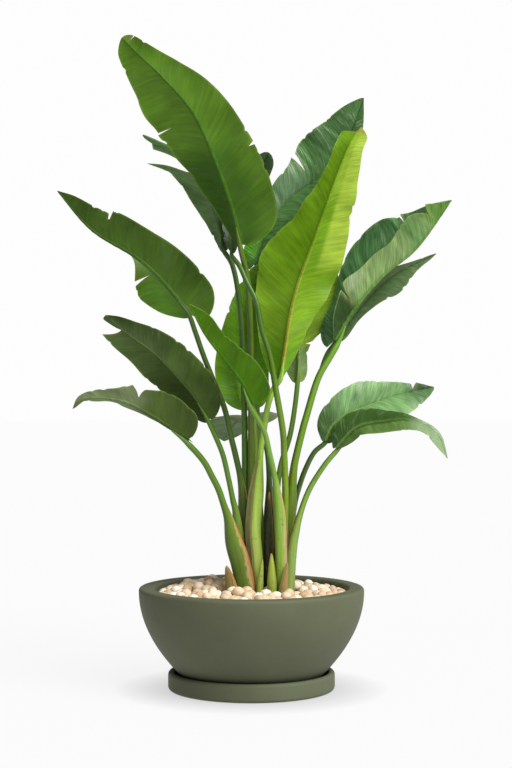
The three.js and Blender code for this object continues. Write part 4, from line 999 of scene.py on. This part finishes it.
def blade_sheet(leaf, blade, chance):
    """Both halves of a blade joined on one midrib: points, faces, and the facts of each point."""
    length = smooth_curve(leaf["rib"])[0][-1]
    rows = blade_rows(blade, length)
    points, faces = [rib_frame(leaf, rows * length)[0]], []
    facts = {"v": [rows], "s": [0 * rows], "torn": [0 * rows], "keel": [0 * rows + 1],
             "grain": [np.stack([0 * rows, (rows * length + VEIN_BEND) * MM, 0 * rows], axis=-1)]}
    count = len(rows)
    for side in (-1, 1):
        index, bank, half_points, half_facts = half_blade(leaf, blade, side, rows, length, chance)
        beside = half_points[:, 1:]  # without the midrib's own column
        number = count + np.arange(beside[..., 0].size).reshape(beside.shape[:2])
        count += number.size
        number = np.concatenate([index[:, None], number], axis=1)
        for i in np.flatnonzero(bank > 0):  # at a tear, the columns that aren't torn are shared
            whole = half_facts["torn"][i] == 0
            number[i, whole] = number[i - 1, whole]
        joined = [i for i in range(len(index) - 1) if not (bank[i] < 0 and bank[i + 1] > 0)]
        near, far = number[joined], number[np.array(joined) + 1]
        quads = [near[:, :-1], near[:, 1:], far[:, 1:], far[:, :-1]]
        faces.append(np.stack(quads if side > 0 else quads[::-1], axis=-1).reshape(-1, 4))
        points.append(beside.reshape(-1, 3))
        for key, values in facts.items():
            values.append(half_facts[key][:, 1:].reshape(beside[..., 0].size, *half_facts[key].shape[2:]))
    used, faces = np.unique(np.vstack(faces), return_inverse=True)
    facts = {key: np.concatenate(values)[used] for key, values in facts.items()}
    return np.vstack(points)[used], faces.reshape(-1, 4), facts


def thick_sheet(points, faces, above, below):
    """A closed body from a sheet: its points moved up and down along its normals, and a wall all round."""
    corners = points[faces]
    face_normals = np.cross(corners[:, 2] - corners[:, 0], corners[:, 3] - corners[:, 1])
    normals = np.zeros(points.shape)
    for k in range(4):
        np.add.at(normals, faces[:, k], face_normals)
    normals = unit(normals)
    lower = len(points)
    edges = {}
    for quad in faces.tolist():
        for a, b in zip(quad, quad[1:] + quad[:1]):
            if edges.pop((b, a), None) is None:
                edges[a, b] = (b, a, a + lower, b + lower)
    walls = np.array(list(edges.values()))
    both_sides = np.vstack([points + normals * above[:, None], points - normals * below[:, None]])
    face_skins = np.repeat([0, 1, 1], [len(faces), len(faces), len(walls)])
    return both_sides, np.vstack([faces, faces[:, ::-1] + lower, walls]), face_skins


def blade_colours(blade, face, facts):
    """Colours of one face: green by the leaf's age, the midrib's own, margins and torn edges dry."""
    v, s = facts["v"], facts["s"]
    paint = np.broadcast_to(np.array(linear(blade["faces"][face])), (*v.shape, 4)).copy()
    for on, tint, v_from, v_to, s_from, s_to, strength, *softness in blade.get("tints", []):
        if on == ("upper", "under")[face]:
            soft = softness[0] if softness else TINT_EDGE
            part = smoothstep(v, v_from - TINT_END, v_from + TINT_END)
            part = part * (1 - smoothstep(v, v_to - TINT_END, v_to + TINT_END))
            part = part * smoothstep(s, s_from - soft, s_from + soft)
            part = part * (1 - smoothstep(s, s_to - soft, s_to + soft))
            paint = tinted(paint, tint, part * strength)
    fading = np.maximum(1 - blade.get("rib_fading", RIB_FADING) * v, 0)
    on_rib = smoothstep(facts["keel"], *RIB_BORDER)
    paint = tinted(paint, blade["rib_colour"], on_rib * fading * RIB_PART[face])
    paint = tinted(paint, MARGIN_YELLOW, MARGIN_PART * smoothstep(np.abs(s), *MARGIN_BORDER))
    paint = tinted(paint, TEAR_BROWN, TEAR_PART * facts["torn"])
    return tinted(paint, TIP_BROWN, TIP_PART * smoothstep(v, *TIP_BORDER))


for seed, (name, leaf) in enumerate(leaves.items(), start=11):
    blade = blades[name]
    points, faces, facts = blade_sheet(leaf, blade, np.random.default_rng(seed))
    v, keel = facts["v"], facts["keel"]
    keel_depth = KEEL_DEPTH * np.minimum(KEEL_RISE[0] + KEEL_RISE[1] * v, 1) * np.sqrt(1 - v) * keel
    above = BLADE_HALF_THICKNESS * SHEET_PART - RIB_GROOVE * keel ** 3
    below = BLADE_HALF_THICKNESS * SHEET_PART + keel_depth
    points, faces, face_skins = thick_sheet(points, faces, above, below)
    paint = np.vstack([blade_colours(blade, face, facts) for face in (0, 1)])
    new_piece(f"blade_{name}", points, faces.tolist(), ridged_skins if blade.get("ridged") else waxy_skins,
              [f"{name}_blade"], face_skins,
              {"paint": paint, "grain": np.vstack([facts["grain"], facts["grain"]])})

# ---- young shoots --------------------------------------------------------------------------------
# Rolled new leaves and old sheath stumps stand pointed between the stalks, at the surface of the
# pebbles. They are the same waxy tissue, fresh and yellow-green or half dried. One near-black body is
# painted shade in a gap between the stalks.

# foot: where it stands in the soil. tip: its point. size: half width and half depth. seam: where its edge
# lies, as for the stalks. greens: colours at foot and tip. dry: how brown that edge is.
shoots = [
    {"name": "old_sheath_left", "foot": [-44, -58], "tip": [-60, -64, 306], "size": [15, 8], "seam": -60,
     "greens": ["66742c", "806c38"], "dry": 0.6},
    {"name": "shoot_pale", "foot": [18, -62], "tip": [27, -60, 322], "size": [8, 7], "seam": -20,
     "greens": ["7c9034", "9cac4c"], "dry": 0.1},
    {"name": "shoot_spear", "foot": [49, -66], "tip": [48, -66, 336], "size": [11, 9], "seam": -30,
     "greens": ["748a2c", "a0ac44"], "dry": 0.1},
    {"name": "old_sheath_right", "foot": [74, -70], "tip": [86, -66, 314], "size": [11, 7], "seam": -110,
     "greens": ["708238", "8a8848"], "dry": 0.6},
    # the near-black shoot_dark is painted shade: a dark body in the shaded gap between the stalks
    {"name": "shoot_dark", "foot": [40, -8], "tip": [43, -10, 480], "size": [12, 8], "seam": -40,
     "greens": ["241f0c", "353c14"], "dry": 0.2},
]
SHOOT_BEND = 0.4  # part of the way to its tip that a shoot has leaned over at half its height
SHOOT_TAPER = 2.6  # how short its pointed end is
SHOOT_FULLNESS = 0.6  # below 1 the sides of the pointed end are round
SHOOT_END = 0.08
SHOOT_LAP = 0.7  # its edge against that of a sheath
SHOOT_EDGE = 1.2  # angle over which the edge is brown
SHOOT_EDGE_BROWN = "a8764c"
SHOOT_TIP_BROWN = "9c7448"
SHOOT_TIP_PART = 0.7
SHOOT_TIP_FROM = 0.9  # of its length


def shoot_outline(size, part, height):
    """The shoot's half width, half depth and lap from foot to tip."""
    pointed = SHOOT_END + (1 - SHOOT_END) * np.minimum(1, SHOOT_TAPER * (1 - part)) ** SHOOT_FULLNESS
    return size[0] * pointed, size[1] * pointed, SHOOT_LAP * pointed


for shoot in shoots:
    (x, y), (tip_x, tip_y, tip_z) = shoot["foot"], shoot["tip"]
    halfway = [x + SHOOT_BEND * (tip_x - x), y + SHOOT_BEND * (tip_y - y), (SOIL_TOP + tip_z) / 2]
    curve = smooth_curve([[x, y, ROOT_HEIGHT], [x, y, SOIL_TOP], halfway, shoot["tip"]])
    outline = partial(shoot_outline, shoot["size"])
    points, faces, grain, where = stem_body(curve, outline, [shoot["seam"]] * 2, 1)
    paint = blend_colours(shoot["greens"], where["along"])
    paint = tinted(paint, SHOOT_EDGE_BROWN, shoot["dry"] * (where["round"] < SHOOT_EDGE))
    paint = tinted(paint, SHOOT_TIP_BROWN, SHOOT_TIP_PART * smoothstep(where["along"], SHOOT_TIP_FROM, 1))
    new_piece(f"young_{shoot['name']}", points, faces, [waxy_stem], [shoot["name"]],
              painted={"paint": paint.reshape(-1, 4), "grain": grain})

# ---- pebbles -------------------------------------------------------------------------------------
# A dressing of loose river pebbles over the soil, 24 to 34 mm, tumbled smooth: beige, cream and pinkish
# limestone. They are poured on last and lie against each other, the stalks and the pot's wall.

STONE_SPACING = 31  # between the middles of neighbours in a layer
STONE_WANDER = 9
STONE_HALF_SIZES = [13, 12.5, 12], [17, 16, 15]  # least and greatest: length, width, thickness
STONE_TURNS = [0, -0.3, -0.3], [2 * math.pi, 0.3, 0.3]  # likewise: angles round and to two sides
STONE_BUMPS = 0.035  # how uneven its shape is, as a part of its size
BUMP_RHYTHM = 3.1  # how close together its bumps lie, in radians for one half size
STONE_HEIGHT = 11  # of a pebble above the grooves round it
STONE_HEIGHTS = [0.75, 1.2]  # least and greatest part of that
STONE_LIFT = 16  # how unevenly the uppermost lie
STONE_SINK = 4  # how much lower they lie at the wall
STONE_LAYER = 16  # how much lower the next layer lies
STONE_HEAP = {"x": -105, "y": 95, "radius": 80, "height": 13}  # they are heaped up behind on the left
HEAP_AT_WALL = 0.6  # how much less so at the wall
WALL_RISE = 6  # how close to the wall all this sets in, as a power
WALL_GAP = 1.5
WALL_OVERHANG = 0.55  # part of the spacing by which a pebble may be too far out and is pushed in
STALK_GAP = 10  # between a stalk and the middle of a pebble
PEBBLE_LEVEL = 240  # height at which the stalks come out between the pebbles
GROOVE_EDGE_TOP = 232  # height of the grooves between the pebbles at the wall
GROOVE_RISE = 14  # how much higher they are round the plant
STONE_SEED = 7
STONE_GRID = 6  # faces along each side of a pebble's six patches
STONE_COLOURS = ["e8d6bc", "dac2a0", "d6b694", "f0e6d6", "cdb696",
                 "e2c6aa", "d8be9a", "c8a680", "eee0ca", "ead8be"]

# Tumbled limestone is smooth but not polished, faintly clouded and speckled.
river_pebble = new_material("river_pebble_tumbled_limestone")
stone_paint = add_node(river_pebble, "Attribute", {"attribute_name": "paint"})
stone_place = add_node(river_pebble, "TexCoord").outputs["Object"]
stone_clouds = add_node(river_pebble, "TexNoise", {"Scale": 90.0, "Detail": 5.0, "Distortion": 0.8},
                        {"Vector": stone_place})  # clouds and bands of about 10 mm
stone_specks = add_node(river_pebble, "TexNoise", {"Scale": 900.0, "Detail": 2.0},
                        {"Vector": stone_place})  # grains of about 1 mm
stone_tone = add_node(river_pebble, "MapRange",
                      {"From Min": 0.3, "From Max": 0.7, "To Min": 0.78, "To Max": 1.12},
                      {"Value": stone_clouds})
stone_colour = add_node(river_pebble, "VectorMath", {"operation": "MULTIPLY"},
                        {0: stone_paint, 1: stone_tone})
stone_bump = add_node(river_pebble, "Bump", {"Strength": 0.4, "Distance": 0.0005}, {"Height": stone_specks})
stone_roughness = add_node(river_pebble, "MapRange", {"To Min": 0.42, "To Max": 0.66},
                           {"Value": stone_clouds})
stone_shader = add_node(river_pebble, "BsdfPrincipled", {"IOR": 1.55, "Specular IOR Level": 0.4},
                        {"Base Color": stone_colour, "Normal": stone_bump, "Roughness": stone_roughness})
add_node(river_pebble, "OutputMaterial", links={"Surface": stone_shader})


def round_grid(size):
    """Directions and faces of a ball made from six square patches."""
    line = np.tan(np.linspace(-1, 1, size + 1) * math.pi / 4)
    directions, faces, known = [], [], {}
    for axis in range(3):
        for sign in (-1, 1):
            numbers = []
            for a in line:
                for b in line:
                    spot = np.insert(np.array([a, b]), axis, sign)
                    key = tuple(np.round(spot, 5))
                    if key not in known:
                        known[key] = len(directions)
                        directions.append(spot / np.linalg.norm(spot))
                    numbers.append(known[key])
            for i in range(size):
                for j in range(size):
                    quad = [numbers[i * (size + 1) + j], numbers[(i + 1) * (size + 1) + j],
                            numbers[(i + 1) * (size + 1) + j + 1], numbers[i * (size + 1) + j + 1]]
                    faces.append(quad[::-1] if sign * (-1) ** axis < 0 else quad)
    return np.array(directions), np.array(faces)


def groove_top(radius):
    """The height of the grooves between the pebbles at a distance from the pot's middle."""
    return GROOVE_EDGE_TOP + GROOVE_RISE * math.cos(min(radius / POT_MOUTH_RADIUS, 1) * math.pi / 2)


def even_numbers(state):
    """The same numbers from 0 to 1 as the CAD solid's, so that each pebble lies on its dome."""
    while True:
        state = (state * 1664525 + 1013904223) % 2 ** 32
        yield state / 2 ** 32


def stone_places():
    """Where the pebbles lie: x, y, height above the grooves, and how much it may differ. Two layers."""
    row_spacing = STONE_SPACING * math.sqrt(3) / 2
    most = math.ceil(POT_MOUTH_RADIUS / row_spacing) + 2
    numbers = even_numbers(STONE_SEED)
    for row in range(-most, most + 1):
        for column in range(-most, most + 1):
            x = (column + (row % 2) / 2) * STONE_SPACING + (next(numbers) - 0.5) * STONE_WANDER
            y = row * row_spacing + (next(numbers) - 0.5) * STONE_WANDER
            least, greatest = STONE_HEIGHTS
            height = STONE_HEIGHT * (least + (greatest - least) * next(numbers))
            yield x, y, height, STONE_LIFT
            yield x + STONE_SPACING / 2, y + row_spacing / 3, height - STONE_LAYER, 0


def rolled(shape, *angles):
    """Points turned about X, Y and Z in turn; about Y the other way round."""
    for axis, angle in enumerate(angles):
        a, b = [k for k in range(3) if k != axis]
        first, second = shape[:, a].copy(), shape[:, b].copy()
        shape[:, a] = first * math.cos(angle) - second * math.sin(angle)
        shape[:, b] = first * math.sin(angle) + second * math.cos(angle)
    return shape


stalk_feet = [(*shoot["foot"], *shoot["size"]) for shoot in shoots]
for leaf in leaves.values():
    (x, y, _), _ = follow(stalk_curve(leaf), PEBBLE_LEVEL - ROOT_HEIGHT)
    stalk_feet.append((x, y, *leaf["sheath"][:2]))

stone_chance = np.random.default_rng(STONE_SEED)
ball, ball_faces = round_grid(STONE_GRID)
stone_points, stone_faces, stone_colours = [], [], []
for x, y, height, lift in stone_places():
    half_sizes = stone_chance.uniform(*STONE_HALF_SIZES)
    turn, tilt, lean = stone_chance.uniform(*STONE_TURNS)
    phases = stone_chance.uniform(0, 2 * math.pi, (3, 3))
    tint = STONE_COLOURS[stone_chance.integers(len(STONE_COLOURS))]
    radius = math.hypot(x, y)
    room = POT_MOUTH_RADIUS - WALL_GAP - half_sizes[0]
    if radius > room + WALL_OVERHANG * STONE_SPACING:
        continue
    if radius > room:
        x, y, radius = x * room / radius, y * room / radius, room
    if any(math.hypot((x - foot_x) / (wide + STALK_GAP), (y - foot_y) / (deep + STALK_GAP)) < 1
           for foot_x, foot_y, wide, deep in stalk_feet):
        continue
    bumps = sum(np.sin(ball[:, k] * BUMP_RHYTHM + phases[k].sum()) for k in range(3))
    shape = rolled(ball * half_sizes * (1 + STONE_BUMPS * bumps)[:, None], tilt, lean, turn)
    at_wall = (radius / room) ** WALL_RISE
    from_heap = math.hypot(x - STONE_HEAP["x"], y - STONE_HEAP["y"]) / STONE_HEAP["radius"]
    heaped = STONE_HEAP["height"] * math.exp(-from_heap ** 2) * (1 - HEAP_AT_WALL * at_wall)
    top = groove_top(radius) + height + heaped + lift * (tilt + lean) * (1 - at_wall) - STONE_SINK * at_wall
    shape += np.array([x, y, top - shape[:, 2].max()])
    stone_faces.append(ball_faces + len(stone_points) * len(ball))
    stone_points.append(shape)
    stone_colours.append(np.broadcast_to(np.array(linear(tint)), (len(ball), 4)))
new_piece("river_pebbles", np.vstack(stone_points), np.vstack(stone_faces).tolist(), [river_pebble],
          ["pebbles"], painted={"paint": np.vstack(stone_colours)})

# ---- studio --------------------------------------------------------------------------------------
# A plain white floor that runs out of sight, lit from below like a light table; its glow is dimmed where
# something stands close over it, as a painted contact shadow. One large soft light hangs on the right in
# front, and white light comes from all round.

FLOOR_HALF = 30  # metres
LIGHT_STRENGTH = 4.5
LIGHT_SIZE = math.radians(44)  # the angle it covers, as seen from the plant
LIGHT_FROM = (math.radians(43), 0, math.radians(51))  # off the vertical, and round to the right
CAMERA_LENS = 78.28
CAMERA_SENSOR = 36
CAMERA_PLACE = (0.011, -4.082, 0.743)  # metres: straight ahead, at about half the plant's height

# White acrylic lit from below: matt, and nearly the white of the surroundings.
white_floor = new_material("studio_floor_lit_white_acrylic")
floor_patches = add_node(white_floor, "TexNoise",
                         {"Scale": 40.0, "Detail": 3.0})  # faint patches of about 1.5 m
floor_tone = add_node(white_floor, "MapRange", {"To Min": 0.055, "To Max": 0.065}, {"Value": floor_patches})
# painted contact shadow: the floor's glow is dimmed where something stands close over it
floor_painted_contact_shadow = add_node(white_floor, "AmbientOcclusion", {"Distance": 0.145})
floor_glow_with_painted_shadow = add_node(white_floor, "MapRange", {"To Min": 0.45, "To Max": 0.88},
                      {"Value": floor_painted_contact_shadow.outputs["AO"]})
floor_shader = add_node(white_floor, "BsdfPrincipled",
                        {"Roughness": 0.9, "Specular IOR Level": 0.1, "Emission Color": (1, 1, 1, 1)},
                        {"Base Color": floor_tone, "Emission Strength": floor_glow_with_painted_shadow})
add_node(white_floor, "OutputMaterial", links={"Surface": floor_shader})

floor_mesh = bpy.data.meshes.new("studio_floor")
floor_corners = [(x * FLOOR_HALF, y * FLOOR_HALF, 0) for x, y in ((-1, -1), (1, -1), (1, 1), (-1, 1))]
floor_mesh.from_pydata(floor_corners, [], [(0, 1, 2, 3)])
floor_mesh.materials.append(white_floor)
studio_floor = bpy.data.objects.new("studio_floor", floor_mesh)
bpy.context.collection.objects.link(studio_floor)

softbox = bpy.data.lights.new("softbox_right_front", "SUN")
softbox.energy = LIGHT_STRENGTH
softbox.angle = LIGHT_SIZE
softbox_stand = bpy.data.objects.new("softbox_right_front", softbox)
softbox_stand.rotation_euler = LIGHT_FROM
bpy.context.collection.objects.link(softbox_stand)

# the surroundings are white to the camera and give about a quarter of that as light
studio = bpy.data.worlds.new("white_studio")
studio.use_nodes = True
studio.node_tree.nodes.clear()
seen_directly = add_node(studio, "LightPath")
room_light = add_node(studio, "Mix", {"A": 0.27, "B": 0.985},
                      {"Factor": seen_directly.outputs["Is Camera Ray"]})
room_white = add_node(studio, "Background", {"Color": (1, 1, 1, 1)}, {"Strength": room_light})
add_node(studio, "OutputWorld", links={"Surface": room_white})
bpy.context.scene.world = studio
bpy.context.scene.view_settings.view_transform = "Standard"

camera_lens = bpy.data.cameras.new("camera")
camera_lens.lens = CAMERA_LENS
camera_lens.sensor_width = CAMERA_SENSOR
camera = bpy.data.objects.new("camera", camera_lens)
camera.location = CAMERA_PLACE
camera.rotation_euler = (math.radians(90), 0, 0)
bpy.context.collection.objects.link(camera)
bpy.context.scene.camera = camera
